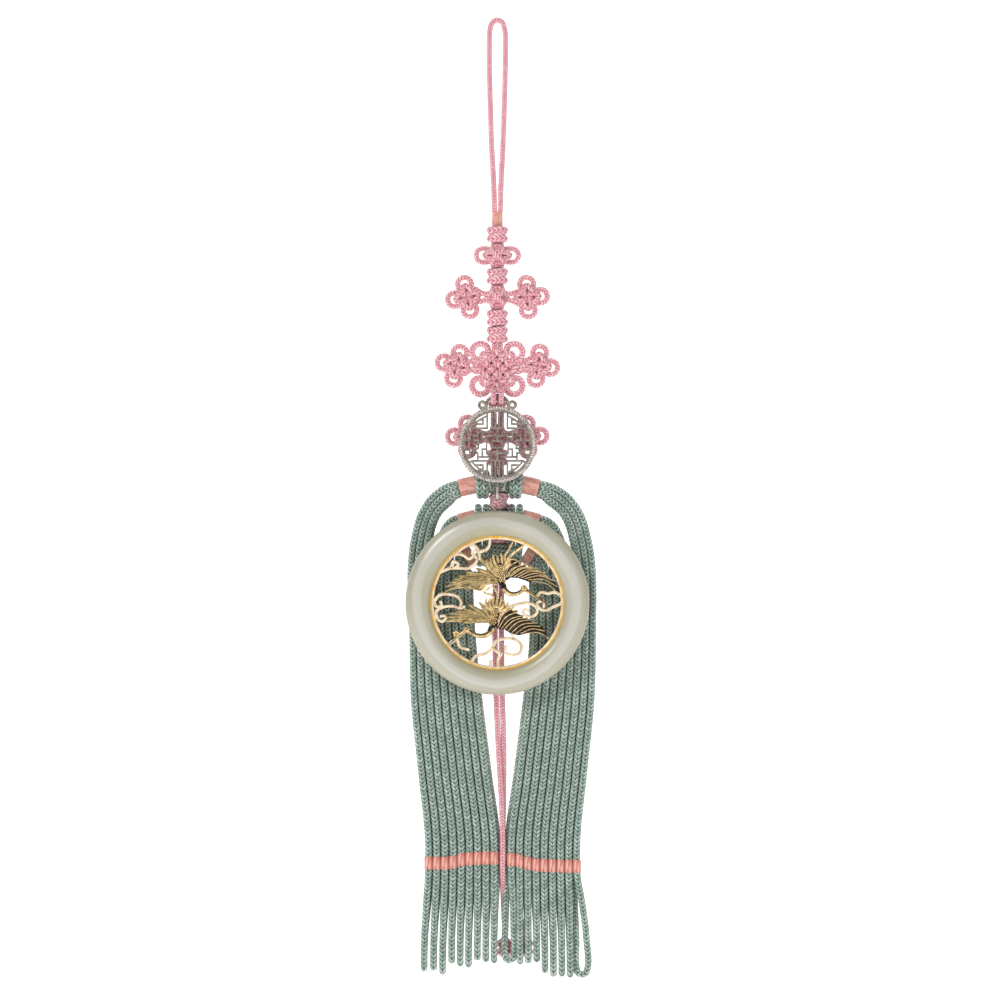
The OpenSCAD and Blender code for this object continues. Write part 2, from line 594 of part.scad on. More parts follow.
module crane_openwork()
    color(GOLD) translate([0, jade_y, jade_z]) {
        upright(cast_t) offset(delta = 0.02) intersection() {
            union() {
                for (c = CLOUDS) ribbon(cast_r * c, cloud_w, 0.8 * cloud_w);
                cranes_flat();
                petal_flower([-0.62, -0.46], 0.7);
            }
            circle(cast_r - cast_rim / 2, $fn = 72);
        }
        translate([0, -relief_t, 0]) upright(cast_t) offset(delta = 0.02) intersection() {
            relief_flat();
            circle(cast_r - cast_rim / 2, $fn = 72);
        }
        rotate([90, 0, 0]) translate([0, 0, -cast_t / 2]) difference() {
            cylinder(r = cast_r, h = cast_t + relief_t / 2);
            translate([0, 0, -1]) cylinder(r = cast_r - cast_rim, h = cast_t + relief_t + 2);
        }
    }

// Tassel

// Each tier: tilt of its wraps, length of a wrap, then its strands' outermost arch as an ellipse:
// the middle's distance from the axis and drop below the head, the half width, the half height
// and the angle where it starts
TIERS = [
    [13, 6.2, 15.1, 25.2, 17.8, 25.2, 73],
    [15, 6.2, 15.1, 24, 10.1, 24.6, 61],
    [31, 3.2, 11, 13.7, 6.5, 15.5, 36]
];
TIER_COUNT = 3;
COLUMNS = 3;

function head_z(tier) = z_head_1 - (tier - 1) * tier_pitch;

strand_pitch = green_d + 0.1;
band_clear = 0.06;
band_pitch = green_d + 2 * (band_clear + thread_t) + gap;
plug_r = wrap_d / 2 - thread_t - gap;
bundle_out = 2.2;
bundle_pitch = 1.9;
strand_out = 1.45;

// The head's core with two turns of green cord at each end, made from the middle outward
module tassel_head(tier) {
    coil_r = coil_d / 2 - green_r;
    color(GREEN) translate([head_x, back_y, head_z(tier)]) rotate([0, 90, 0]) rotate_extrude() {
        translate([0, -head_w / 2 + green_r]) square([core_r, head_w - 2 * green_r]);
        for (side = SIDES, turn = [0, 1])
            translate([coil_r, side * (head_w / 2 - green_r - turn * (green_d - 0.05))]) circle(green_r);
        for (side = SIDES)
            translate([0, side * (head_w / 2 - green_r - 0.55 * green_d) - 0.9 * green_r])
                square([coil_r, 1.8 * green_r]);
    }
}

// Puts its children at a head's end, with +X along the wrap's axis
module at_wrap(tier, side)
    translate([head_x + side * head_w / 2, back_y, head_z(tier)])
    mirror([side < 0 ? 1 : 0, 0, 0]) rotate([0, TIERS[tier - 1][0], 0]) translate([wrap_start(tier), 0, 0])
    children();

module thread_wrap(tier, side)
    color(SALMON) at_wrap(tier, side) rotate([0, 90, 0]) difference() {
        cylinder(d = wrap_d, h = TIERS[tier - 1][1]);
        translate([0, 0, -1]) cylinder(r = plug_r + gap, h = TIERS[tier - 1][1] + 2);
    }

// The tassel below the arches: share of the drop from the lowest head to the bands, share of the
// half width, and how far the columns have opened from touching toward the bands' spacing
SPREAD = [
    [0.29, 1, 0.35], [0.47, 0.985, 0.7], [0.72, 0.9, 0.85], [0.95, 0.825, 1], [1.04, 0.825, 1]
];

// How each loop hangs below its band: drop below the band as a share of loop_drop, sideways drift,
// half opening, and turn from edge-on; first the left side's outermost loop
LOOPS_LEFT = [
    [0.95, -1.6, 1.5, 90], [0.94, -1.1, 1.6, 90], [0.98, -0.8, 1.5, 90], [0.87, -0.5, 1.6, 90],
    [0.9, -0.4, 1.5, 90], [0.91, -0.3, 1.6, 90], [0.84, -0.1, 1.5, 90], [0.86, 0, 1.6, 90], [0.87, 0, 1.5, 90]
];
LOOPS_RIGHT = [
    [1.01, 1.9, 2, 0], [1.01, 0.5, 1.5, 90], [1, 0.5, 1.6, 90], [1, 0.4, 1.5, 90],
    [0.97, 0.3, 1.6, 90], [0.86, 0.3, 1.5, 90], [0.87, 0.2, 1.6, 90], [0.88, 0.2, 1.5, 90], [0.87, -0.7, 1.6, 0]
];

z_band = head_z(TIER_COUNT) - band_drop;

// The middle of a strand pair's column at a row of the spread
function column_at(side, k, row) =
    let(pitch = strand_pitch + row[2] * (band_pitch - strand_pitch),
        half = row[1] * tassel_w / 2 - k * pitch)
    [tassel_x + side * half, back_y, head_z(TIER_COUNT) - row[0] * band_drop];

function arch_at(tier, side, column, angle) =
    let(row = TIERS[tier - 1], inset = column * strand_pitch)
    [head_x + side * (row[2] + (row[4] - inset) * cos(angle)) + (tassel_x - head_x) * cos(angle) * 0.6,
        back_y, head_z(tier) - row[3] + (row[5] - inset) * sin(angle)];

// Where a strand pair comes out of its wrap's bundle, a little beyond the wrap
function wrap_start(tier) = (gap + wrap_d / 2 * sin(TIERS[tier - 1][0])) / cos(TIERS[tier - 1][0]);

function bundle_at(tier, side, column) =
    let(row = TIERS[tier - 1], along = wrap_start(tier) + row[1] + strand_out, across = (1 - column) * bundle_pitch)
    [head_x + side * (head_w / 2 + along * cos(row[0]) + across * sin(row[0])), back_y,
        head_z(tier) - along * sin(row[0]) + across * cos(row[0])];

// The line down the middle of a strand pair, from its wrap to just below its band
function column_line(tier, side, column) =
    let(k = (tier - 1) * COLUMNS + column, a0 = TIERS[tier - 1][6])
    concat([bundle_at(tier, side, column)],
        [for (s = [1, 0.7, 0.42, 0.17]) arch_at(tier, side, column, a0 * s)],
        [for (row = SPREAD) column_at(side, k, row)]);

// One loop of green cord: down the front of its column, round the bottom and up the back
function loop_path(tier, side, column) =
    let(k = (tier - 1) * COLUMNS + column,
        hang = (side < 0 ? LOOPS_LEFT : LOOPS_RIGHT)[k],
        line = column_line(tier, side, column),
        top = line[len(line) - 1],
        half = strand_pitch / 2,
        drop = hang[0] * loop_drop,
        turn = hang[3],
        out = [hang[1], 0, 0],
        low = [for (s = [[0.35, 0.5], [0.7, 0.9], [1, 1]])
            let(a = 90 + (turn - 90) * s[1], w = half + (hang[2] - half) * s[1])
            [top + s[1] * out - [0, 0, s[0] * (drop - hang[2])], w * [cos(a), -sin(a), 0]]],
        bottom = [for (b = [36:36:144]) low[2][0] + hang[2] * [cos(turn) * cos(b), -sin(turn) * cos(b), -sin(b)]])
    concat([for (p = line) p - [0, half, 0]], [for (q = low) q[0] + q[1]], bottom,
        [for (i = [2:-1:0]) low[i][0] - low[i][1]], [for (p = back(line)) p + [0, half, 0]]);

module strands(tier, side)
    color(GREEN) {
        for (column = [0:COLUMNS - 1]) {
            path = loop_path(tier, side, column);
            tube(path, green_r, 6, [side, 0, 0.01]);
        }
        at_wrap(tier, side) rotate([0, 90, 0]) cylinder(r = plug_r, h = TIERS[tier - 1][1] + bundle_out);
    }

// A thread band round one strand pair: a wall round the two strands side by side
module pair_outline(r) {
    for (side = SIDES) translate([0, side * strand_pitch / 2]) circle(r);
    square([2 * r, strand_pitch], center = true);
}

module loop_bands(tier, side)
    color(SALMON)
    for (column = [0:COLUMNS - 1])
        translate(column_at(side, (tier - 1) * COLUMNS + column, [1, SPREAD[3][1], 1]) - [0, 0, band_h / 2])
            linear_extrude(band_h) difference() {
                pair_outline(green_r + band_clear + thread_t);
                pair_outline(green_r + band_clear);
            }

// Centre cords, from the lowest head to their end knots behind the loops
CENTRE_LEFT = [
    [-0.5, 1.5, -201.6], [-0.6, 1.5, -208], [-0.9, 1.5, -220], [-0.8, 1.5, -235], [-0.5, 1.5, -250],
    [0.1, 1.2, -265], [0.9, 0.8, -280], [1.7, 0.4, -294], [2, 0.3, -306], [2, 0.6, -316],
    [2.1, 2.4, -324], [2.4, 5.2, -332], [2.7, 6.9, -339], [2.8, 7.2, -343.4]
];
CENTRE_RIGHT = [
    [1.7, 1.5, -201.6], [1.6, 1.5, -208], [1.5, 1.5, -220], [1.6, 1.5, -235], [1.8, 1.5, -250],
    [2.3, 1.8, -265], [2.4, 2.2, -280], [2.2, 2.6, -294], [2, 2.8, -306], [2.2, 3.6, -316],
    [4.2, 6.2, -324], [7.4, 7.2, -332], [9.9, 7.4, -339], [10.4, 7.4, -343.4]
];

module centre_cord(route) color(PINK) tube(smooth(route, 2), pink_r, 8);

module end_knot(route) {
    end = route[len(route) - 1];
    color(PINK) translate(end) coils(end_knot_d * 0.92, end_knot_d, 3);
}

hanging_loop();
loop_binding();
round_knot(z_round_1);  // round_knot_1
clover_knot();
round_knot(z_round_2);  // round_knot_2
wing_knot(z_wing_upper, 0);  // wing_knot_upper
side_clover(-1, z_wing_upper - middle_h / 2, round_w / 2, 0);  // wing_clover_upper_left
side_clover(1, z_wing_upper - middle_h / 2, round_w / 2, 0);  // wing_clover_upper_right
round_knot(z_round_3);  // round_knot_3
round_knot(z_round_4);  // round_knot_4
woven_knot();
side_clover(-1, z_weave, weave_corner + 2.4, 12);  // woven_clover_left
side_clover(1, z_weave, weave_corner + 2.4, 14);  // woven_clover_right
bail_cord(-1);  // bail_cord_left
bail_cord(1);  // bail_cord_right
wing_knot(z_wing_lower, back_y);  // wing_knot_lower
side_clover(-1, z_wing_lower - middle_h / 2, round_w / 2, 0, back_y);  // wing_clover_lower_left
side_clover(1, z_wing_lower - middle_h / 2, round_w / 2, 8, back_y);  // wing_clover_lower_right
round_knot(z_round_5, y = back_y, stem = stem_h);  // round_knot_5
round_knot((head_z(1) + head_z(2) + round_h) / 2, head_x, back_y, between_w);  // round_knot_6
round_knot((head_z(2) + head_z(3) + round_h) / 2, head_x, back_y, between_w);  // round_knot_7
silver_disc();
hanger_link();
jade_eye();
jade_ring();
crane_openwork();
tassel_head(1);  // tassel_head_1
tassel_head(2);  // tassel_head_2
tassel_head(3);  // tassel_head_3
thread_wrap(1, -1);  // thread_wrap_1_left
thread_wrap(2, -1);  // thread_wrap_2_left
thread_wrap(3, -1);  // thread_wrap_3_left
thread_wrap(1, 1);  // thread_wrap_1_right
thread_wrap(2, 1);  // thread_wrap_2_right
thread_wrap(3, 1);  // thread_wrap_3_right
strands(1, -1);  // strands_1_left
strands(2, -1);  // strands_2_left
strands(3, -1);  // strands_3_left
strands(1, 1);  // strands_1_right
strands(2, 1);  // strands_2_right
strands(3, 1);  // strands_3_right
loop_bands(1, -1);  // loop_bands_1_left
loop_bands(2, -1);  // loop_bands_2_left
loop_bands(3, -1);  // loop_bands_3_left
loop_bands(1, 1);  // loop_bands_1_right
loop_bands(2, 1);  // loop_bands_2_right
loop_bands(3, 1);  // loop_bands_3_right
centre_cord(CENTRE_LEFT);  // centre_cord_left
centre_cord(CENTRE_RIGHT);  // centre_cord_right
end_knot(CENTRE_LEFT);  // end_knot_left
end_knot(CENTRE_RIGHT);  // end_knot_right
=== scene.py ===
"""A norigae: knotted pink silk cord, a pierced silver disc, a jade ring round a gilt openwork of
two cranes, and a tassel of green cord loops. Lengths are in millimetres until a mesh is made."""
import json
import math
import random
from collections import namedtuple

import bmesh
import bpy
import numpy as np
from mathutils import Matrix, Vector
from mathutils.geometry import tessellate_polygon


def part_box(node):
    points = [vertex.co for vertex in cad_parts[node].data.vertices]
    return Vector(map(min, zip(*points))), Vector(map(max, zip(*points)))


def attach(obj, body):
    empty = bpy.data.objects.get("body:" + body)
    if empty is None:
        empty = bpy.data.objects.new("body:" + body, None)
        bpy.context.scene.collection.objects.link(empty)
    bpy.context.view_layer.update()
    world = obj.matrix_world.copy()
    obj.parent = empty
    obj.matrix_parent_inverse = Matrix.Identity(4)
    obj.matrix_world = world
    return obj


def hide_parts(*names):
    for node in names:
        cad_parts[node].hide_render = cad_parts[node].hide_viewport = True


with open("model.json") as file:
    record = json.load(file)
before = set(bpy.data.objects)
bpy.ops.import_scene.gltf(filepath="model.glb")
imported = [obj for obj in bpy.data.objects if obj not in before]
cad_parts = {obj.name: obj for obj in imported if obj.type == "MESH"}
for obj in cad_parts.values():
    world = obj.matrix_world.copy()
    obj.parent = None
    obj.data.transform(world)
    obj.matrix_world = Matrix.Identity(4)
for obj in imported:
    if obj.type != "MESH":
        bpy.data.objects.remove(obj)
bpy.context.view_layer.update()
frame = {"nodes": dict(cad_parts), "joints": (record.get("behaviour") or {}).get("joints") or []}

MM = 0.001
SIDES = (-1, 1)
WORD = {-1: "left", 1: "right"}
FULL_TURN = 2 * math.pi

# Half the thickness of the pink cord, of the same cord fattened in a knot, and of the green cord
PINK_R, KNOT_R, GREEN_R = 1.05, 1.12, 1.2


def add_to_scene(name, data):
    """A new object that shows a mesh, lamp or camera."""
    obj = bpy.data.objects.new(name, data)
    bpy.context.scene.collection.objects.link(obj)
    return obj


def node_box(name):
    """A node's lowest corner, highest corner and middle, in millimetres."""
    lo, hi = (np.array(corner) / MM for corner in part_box(name))
    return lo, hi, (lo + hi) / 2


def joint_at(name):
    joint = next(j for j in frame["joints"] if j["name"] == name)
    return np.array(joint["pos_m"], float) / MM


# Camera

VIEW_CENTRE = (1.0, 0.0, -178.5)
VIEW_HEIGHT = 374.0
CAMERA_AWAY = 2600.0
SENSOR = 36.0


def place_camera():
    data = bpy.data.cameras.new("front_camera")
    data.sensor_width = SENSOR
    data.lens = SENSOR * CAMERA_AWAY / VIEW_HEIGHT
    data.clip_end = 20
    camera = add_to_scene("front_camera", data)
    x, y, z = VIEW_CENTRE
    camera.location = (x * MM, (y - CAMERA_AWAY) * MM, z * MM)
    camera.rotation_euler = (math.pi / 2, 0, 0)
    bpy.context.scene.camera = camera


# Lines in space

def smooth_line(control, closed=False, per=14):
    """A smooth line through the control points, however unevenly they are spaced."""
    p = np.array(control, float)
    n = len(p)
    if closed:
        p = np.concatenate([p[-1:], p, p[:2]])
    else:
        p = np.concatenate([2 * p[:1] - p[1:2], p, 2 * p[-1:] - p[-2:-1]])
    gap = np.maximum(np.linalg.norm(np.diff(p, axis=0), axis=1), 1e-6)[:, None]
    pace = np.diff(p, axis=0) / gap
    lean = (pace[:-1] * gap[1:] + pace[1:] * gap[:-1]) / (gap[:-1] + gap[1:])
    t = np.arange(per)[:, None] / per
    rows = []
    for i in range(n if closed else n - 1):
        h, a, b, m, k = gap[i + 1], p[i + 1], p[i + 2], lean[i], lean[i + 1]
        rows.append(a * (2 * t ** 3 - 3 * t ** 2 + 1) + b * (3 * t ** 2 - 2 * t ** 3)
                    + h * (m * (t ** 3 - 2 * t ** 2 + t) + k * (t ** 3 - t ** 2)))
    if not closed:
        rows.append(p[-2:-1])
    return np.concatenate(rows)


def even_line(line, step, closed=False):
    """The same line with points an even step apart, and each point's distance along it."""
    p = np.concatenate([line, line[:1]]) if closed else line
    along = np.concatenate([[0], np.cumsum(np.linalg.norm(np.diff(p, axis=0), axis=1))])
    count = max(4, int(round(along[-1] / step)))
    at = np.linspace(0, along[-1], count + 1)
    out = np.stack([np.interp(at, along, p[:, k]) for k in range(3)], 1)
    return (out[:-1], at[:-1]) if closed else (out, at)


def line_length(line, closed=False):
    p = np.concatenate([line, line[:1]]) if closed else line
    return float(np.linalg.norm(np.diff(p, axis=0), axis=1).sum())


def unit(v):
    return v / np.maximum(np.linalg.norm(v, axis=-1, keepdims=True), 1e-9)


def frames_along(p, closed, toward):
    """Tangent and two crosswise directions at each point, carried along without twisting."""
    if closed:
        t = unit(np.roll(p, -1, 0) - np.roll(p, 1, 0))
    else:
        t = unit(np.gradient(p, axis=0))
    u = np.empty_like(p)
    last = np.array(toward, float)
    for i in range(len(p)):
        last = unit(last - t[i] * (last @ t[i]))
        u[i] = last
    if closed:
        # spread the angle left at the seam over the whole line
        end = unit(u[-1] - t[0] * (u[-1] @ t[0]))
        angle = math.atan2(np.cross(end, u[0]) @ t[0], end @ u[0])
        turn = angle * np.arange(len(p)) / len(p)
        w = np.cross(t, u)
        u = u * np.cos(turn)[:, None] + w * np.sin(turn)[:, None]
    return t, u, np.cross(t, u)


def soft_square(angle, power):
    """Cosine and sine of a round that grows squarer as power falls below 1."""
    return tuple(np.sign(k) * np.abs(k) ** power for k in (np.cos(angle), np.sin(angle)))


def turned(degrees):
    """Turns points anticlockwise as seen from the front."""
    c, s = math.cos(math.radians(degrees)), math.sin(math.radians(degrees))
    return np.array([[c, 0, -s], [0, 1, 0], [s, 0, c]])


def move(line, matrix):
    m = np.array(matrix)
    return np.asarray(line, float) @ m[:3, :3].T + m[:3, 3]


# Meshes

class Parts:
    """Gathers the rings and plates of one piece before its mesh is made."""

    def __init__(self):
        self.verts, self.faces, self.uvs, self.slots, self.count = [], [], [], [], 0

    def add(self, verts, faces, uvs, slot=0):
        """uvs holds one pair for each corner of each face."""
        self.verts.append(np.asarray(verts, float))
        self.faces.extend([tuple(int(k) + self.count for k in f) for f in faces])
        self.uvs.append(np.asarray(uvs, float).reshape(-1, 2))
        self.slots.extend([slot] * len(faces))
        self.count += len(verts)

    def make(self, name, *materials):
        mesh = bpy.data.meshes.new(name)
        mesh.from_pydata((np.concatenate(self.verts) * MM).tolist(), [], self.faces)
        layer = mesh.uv_layers.new(name="UVMap")
        layer.data.foreach_set("uv", np.concatenate(self.uvs).astype(np.float32).ravel())
        mesh.polygons.foreach_set("use_smooth", [True] * len(mesh.polygons))
        for mat in materials:
            mesh.materials.append(mat)
        mesh.polygons.foreach_set("material_index", np.asarray(self.slots, np.int32))
        mesh.validate()
        return add_to_scene(name, mesh)


def grid(rings, sides, closed):
    """Quads between rings of points, and each quad's ring and side numbers."""
    i = np.arange(rings if closed else rings - 1)[:, None]
    k = np.arange(sides)[None, :]
    j, m = (i + 1) % rings, (k + 1) % sides
    quads = np.stack([i * sides + k, i * sides + m, j * sides + m, j * sides + k], -1).reshape(-1, 4)
    corner_u = np.stack([i + 0 * k, i + 0 * k, i + 1 + 0 * k, i + 1 + 0 * k], -1).reshape(-1, 4)
    corner_v = np.stack([k + 0 * i, k + 1 + 0 * i, k + 1 + 0 * i, k + 0 * i], -1).reshape(-1, 4)
    return quads, corner_u, corner_v


def sleeve(parts, rings, thread, lengths_round):
    """Adds a wound sleeve through rings of points; thread is the UV step from one ring to the next."""
    sides = len(rings[0])
    quads, cu, cv = grid(len(rings), sides, False)
    uv = np.stack([cu * thread, cv / sides * lengths_round], -1)
    parts.add(np.concatenate(rings), quads[:, ::-1].tolist(), uv[:, ::-1].reshape(-1, 2))


# Braided cord: yarns that cross in four columns of slanting stitches

BRAID_COLUMNS = 4
BRAID_PITCH = 1.15
BRAID_SLANT = 1.15
BRAID_RELIEF = 0.14
RINGS_PER_STITCH = 4
CORD_TIP = 0.4


def braid_height(u, v):
    """How proud a yarn stands, 0 to 1, at u stitches along and v columns round."""
    slant = BRAID_SLANT * np.abs((v % 2) - 1)
    stitch = np.abs(np.sin(math.pi * (u + slant)))
    column = np.abs(np.sin(math.pi * v))
    return stitch ** 0.7 * (0.45 + 0.55 * column ** 0.6)


def braided(parts, line, radius, closed=False, toward=(0, 1, 0), sides=12, pitch=BRAID_PITCH, start=0.0):
    """Adds a braided cord along a line; radius may be a row of values spread evenly along it."""
    p, along = even_line(np.asarray(line, float), pitch / RINGS_PER_STITCH, closed)
    total = line_length(p, closed)
    stitches = max(2, round(total / pitch)) if closed else total / pitch
    u = along / total * stitches + start
    t, a, b = frames_along(p, closed, toward)
    angle = FULL_TURN * np.arange(sides) / sides
    v = BRAID_COLUMNS * np.arange(sides) / sides
    if np.ndim(radius):
        radius = np.interp(along, np.linspace(0, along[-1], len(radius)), radius)[:, None]
    # the radius lies a little under the tops of the yarns
    r = radius + BRAID_RELIEF * (braid_height(u[:, None], v[None, :]) - 0.75) - 0.02
    verts = (p[:, None, :] + r[..., None] * (
        np.cos(angle)[None, :, None] * a[:, None, :] + np.sin(angle)[None, :, None] * b[:, None, :])).reshape(-1, 3)
    quads, cu, cv = grid(len(p), sides, closed)
    steps_u = np.append(u, u[-1] + (u[1] - u[0]))
    faces, uvs = quads.tolist(), np.stack([steps_u[cu], BRAID_COLUMNS * cv / sides], -1).reshape(-1, 2)
    if not closed:
        first, far_ring = len(verts), (len(p) - 1) * sides
        verts = np.concatenate([verts, [p[0] - t[0] * CORD_TIP, p[-1] + t[-1] * CORD_TIP]])
        tip_uvs = []
        for k in range(sides):
            m = (k + 1) % sides
            faces += [[first, m, k], [first + 1, far_ring + k, far_ring + m]]
            for end in (u[0], u[-1]):
                tip_uvs += [[end, 0], [end, 0.5], [end, 1]]
        uvs = np.concatenate([uvs, tip_uvs])
    parts.add(verts, faces, uvs)


def rod(parts, line, width, depth=None, closed=False, sides=8, step=0.2, slot=0, taper=((0, 1), (1, 1)),
        square=1.0):
    """Adds a rod, or a band where depth differs from width; its corners are sharper as square nears 0."""
    p, along = even_line(np.asarray(line, float), step, closed)
    _, a, b = frames_along(p, closed, (0, 1, 0))
    deep, across = soft_square(FULL_TURN * (np.arange(sides) + 0.5) / sides, square)
    w = width * np.interp(along / along[-1], *zip(*taper))
    d = w if depth is None else np.full(len(p), float(depth))
    verts = p[:, None, :] + 0.5 * (
        (deep[None, :] * d[:, None])[..., None] * a[:, None, :]
        + (across[None, :] * w[:, None])[..., None] * b[:, None, :])
    quads, cu, cv = grid(len(p), sides, closed)
    faces, uvs = quads.tolist(), np.stack([cu * step, cv / sides], -1).reshape(-1, 2)
    if not closed:
        faces.append(list(range(sides))[::-1])
        faces.append([(len(p) - 1) * sides + k for k in range(sides)])
        uvs = np.concatenate([uvs, np.zeros((2 * sides, 2))])
    parts.add(verts.reshape(-1, 3), faces, uvs, slot)


def lathe(parts, profile, sides, matrix, closed=True, slot=0, lengths_round=1):
    """Adds a turned form: profile is radius and height, turned about the matrix's Z axis."""
    prof = np.asarray(profile, float)
    angle = FULL_TURN * np.arange(sides) / sides
    rings = np.stack([np.outer(prof[:, 0], np.cos(angle)), np.outer(prof[:, 0], np.sin(angle)),
                      np.repeat(prof[:, 1:2], sides, 1)], -1)
    quads, cu, cv = grid(len(prof), sides, closed)
    # the first UV coordinate is the distance along the profile
    along = np.concatenate([[0], np.cumsum(np.linalg.norm(np.diff(prof, axis=0), axis=1))])
    along = np.append(along, along[-1] + 1)
    uv = np.stack([along[cu], cv / sides * lengths_round], -1)
    parts.add(move(rings.reshape(-1, 3), matrix), quads[:, ::-1].tolist(), uv[:, ::-1].reshape(-1, 2), slot)


# Materials

def linear(*rgb):
    return tuple((c / 12.92 if c <= 0.04045 else ((c + 0.055) / 1.055) ** 2.4) for c in rgb) + (1.0,)


class Nodes:
    """Short calls for one node tree."""

    def __init__(self, tree):
        self.tree = tree

    def put(self, kind, **values):
        node = self.tree.nodes.new(kind)
        for key, value in values.items():
            setattr(node, key, value)
        return node

    def link(self, a, b):
        self.tree.links.new(a, b)

    def feed(self, socket, value):
        if isinstance(value, bpy.types.NodeSocket):
            self.link(value, socket)
        elif value is not None:
            socket.default_value = value

    def math(self, op, a, b=None, clamp=False):
        node = self.put("ShaderNodeMath", operation=op, use_clamp=clamp)
        self.feed(node.inputs[0], a)
        self.feed(node.inputs[1], b)
        return node.outputs[0]

    def mix(self, factor, a, b):
        node = self.put("ShaderNodeMix", data_type="RGBA")
        self.feed(node.inputs[0], factor)
        self.feed(node.inputs[6], a)
        self.feed(node.inputs[7], b)
        return node.outputs[2]

    def noise(self, vector, scale, detail=3, rough=0.5):
        node = self.put("ShaderNodeTexNoise")
        self.feed(node.inputs["Vector"], vector)
        node.inputs["Scale"].default_value = scale
        node.inputs["Detail"].default_value = detail
        node.inputs["Roughness"].default_value = rough
        return node.outputs["Fac"]

    def point(self, x, y):
        """Two values as a place, for noise that is stretched one way."""
        node = self.put("ShaderNodeCombineXYZ")
        self.link(x, node.inputs[0])
        self.link(y, node.inputs[1])
        return node.outputs[0]

    def apart(self, vector):
        """The three values of a vector."""
        node = self.put("ShaderNodeSeparateXYZ")
        self.link(vector, node.inputs[0])
        return node.outputs[0], node.outputs[1], node.outputs[2]

    def ridges(self, value):
        """0 at each whole number, and 1 half-way between two."""
        return self.math("ABSOLUTE", self.math("SINE", self.math("MULTIPLY", value, math.pi)))

    def span(self, value, lo, hi, to_lo=0.0, to_hi=1.0):
        node = self.put("ShaderNodeMapRange")
        for socket, v in zip(node.inputs, (value, lo, hi, to_lo, to_hi)):
            self.feed(socket, v)
        return node.outputs[0]


def effect_group(name, inputs, outputs):
    """An empty shader node group with its sockets."""
    group = bpy.data.node_groups.new(name, "ShaderNodeTree")
    for label, kind, value in inputs:
        socket = group.interface.new_socket(name=label, in_out="INPUT", socket_type=kind)
        if value is not None:
            socket.default_value = value
    for label, kind in outputs:
        group.interface.new_socket(name=label, in_out="OUTPUT", socket_type=kind)
    n = Nodes(group)
    return group, n, n.put("NodeGroupInput").outputs, n.put("NodeGroupOutput").inputs
FLOAT, COLOUR = "NodeSocketFloat", "NodeSocketColor"
SURFACE = [("Colour", COLOUR), ("Height", FLOAT), ("Roughness", FLOAT)]


def make_braid_group():
    """Stitches of a braided cord, with painted shade where the yarns sink and painted highlights where they stand
    proud, from the piece's own UV.
    """
    group, n, inp, out = effect_group(
        "braid_stitches",
        [("Groove", COLOUR, linear(0.5, 0.2, 0.25)), ("Yarn", COLOUR, linear(0.85, 0.5, 0.55)),
         ("Shine", COLOUR, linear(0.95, 0.8, 0.8)), ("Fibre", FLOAT, 0.4)], SURFACE)
    u, v, _ = n.apart(n.put("ShaderNodeUVMap").outputs[0])
    slant = n.math("MULTIPLY", n.math("SUBTRACT", 1.0, n.math("PINGPONG", v, 1.0)), BRAID_SLANT)
    phase = n.math("ADD", u, slant)
    stitch = n.math("POWER", n.ridges(phase), 0.55)
    column = n.math("POWER", n.ridges(v), 0.5)
    body = n.math("MULTIPLY", stitch, n.span(column, 0, 1, 0.45, 1.0))
    # each yarn takes the light its own way
    each = n.put("ShaderNodeTexWhiteNoise", noise_dimensions="2D")
    n.link(n.point(n.math("FLOOR", phase), n.math("FLOOR", v)), each.inputs["Vector"])
    # fibres run along each yarn, which slants across its column
    fibre = n.noise(n.point(n.math("MULTIPLY", phase, 6.0), n.math("MULTIPLY", v, 1.2)), 1.6, 2, 0.6)
    height = n.math("ADD", body, n.math("MULTIPLY", n.math("SUBTRACT", fibre, 0.5), inp["Fibre"]))
    # painted shade: the yarns take the darker colour in the grooves and at the column seams; painted highlight:
    # their tops go to the pale colour
    dark = n.span(height, 0.3, 0.72)
    lit = n.math("ADD", height, n.math("MULTIPLY", n.math("ADD", each.outputs["Value"], fibre), 0.4))
    colour = n.mix(n.span(lit, 1.0, 1.6), n.mix(dark, inp["Groove"], inp["Yarn"]), inp["Shine"])
    n.link(colour, out["Colour"])
    n.link(height, out["Height"])
    n.link(n.span(fibre, 0.2, 0.8, 0.4, 0.6), out["Roughness"])
    return group


def make_thread_group():
    """Fine silk threads wound side by side, with painted shade between them and painted sheen in streaks along
    them; the first UV coordinate counts millimetres across them.
    """
    group, n, inp, out = effect_group(
        "wound_thread",
        [("Groove", COLOUR, linear(0.7, 0.3, 0.25)), ("Thread", COLOUR, linear(0.9, 0.5, 0.42)),
         ("Shine", COLOUR, linear(1, 0.75, 0.68)), ("Threads per mm", FLOAT, 6.0), ("Gleam", FLOAT, 0.5)],
        SURFACE)
    across, round_it, _ = n.apart(n.put("ShaderNodeUVMap").outputs[0])

    def stretched(by_across, by_round):
        return n.point(n.math("MULTIPLY", across, by_across), n.math("MULTIPLY", round_it, by_round))

    wander = n.math("MULTIPLY", n.noise(stretched(1.1, 2.2), 1.6, 2), 0.5)
    ridge = n.ridges(n.math("MULTIPLY", n.math("ADD", across, wander), inp["Threads per mm"]))
    # painted shade in the darker colour between the threads, and painted sheen in pale streaks along them
    tone = n.noise(stretched(7.0, 1.5), 1.3, 3, 0.65)
    colour = n.mix(n.span(tone, 0.46, 0.64), n.mix(n.span(ridge, 0.05, 0.7), inp["Groove"], inp["Thread"]),
                   inp["Shine"])
    # satin gleams and shades that run across the threads
    gleam = n.noise(stretched(0.12, 1.8), 1.3, 2, 0.5)
    colour = n.mix(n.math("MULTIPLY", n.span(gleam, 0.46, 0.38), inp["Gleam"]), colour, inp["Groove"])
    colour = n.mix(n.math("MULTIPLY", n.span(gleam, 0.5, 0.58), inp["Gleam"]), colour, inp["Shine"])
    n.link(colour, out["Colour"])
    n.link(n.math("ADD", ridge, n.math("MULTIPLY", tone, 0.6)), out["Height"])
    n.link(n.span(tone, 0.2, 0.8, 0.34, 0.55), out["Roughness"])
    return group


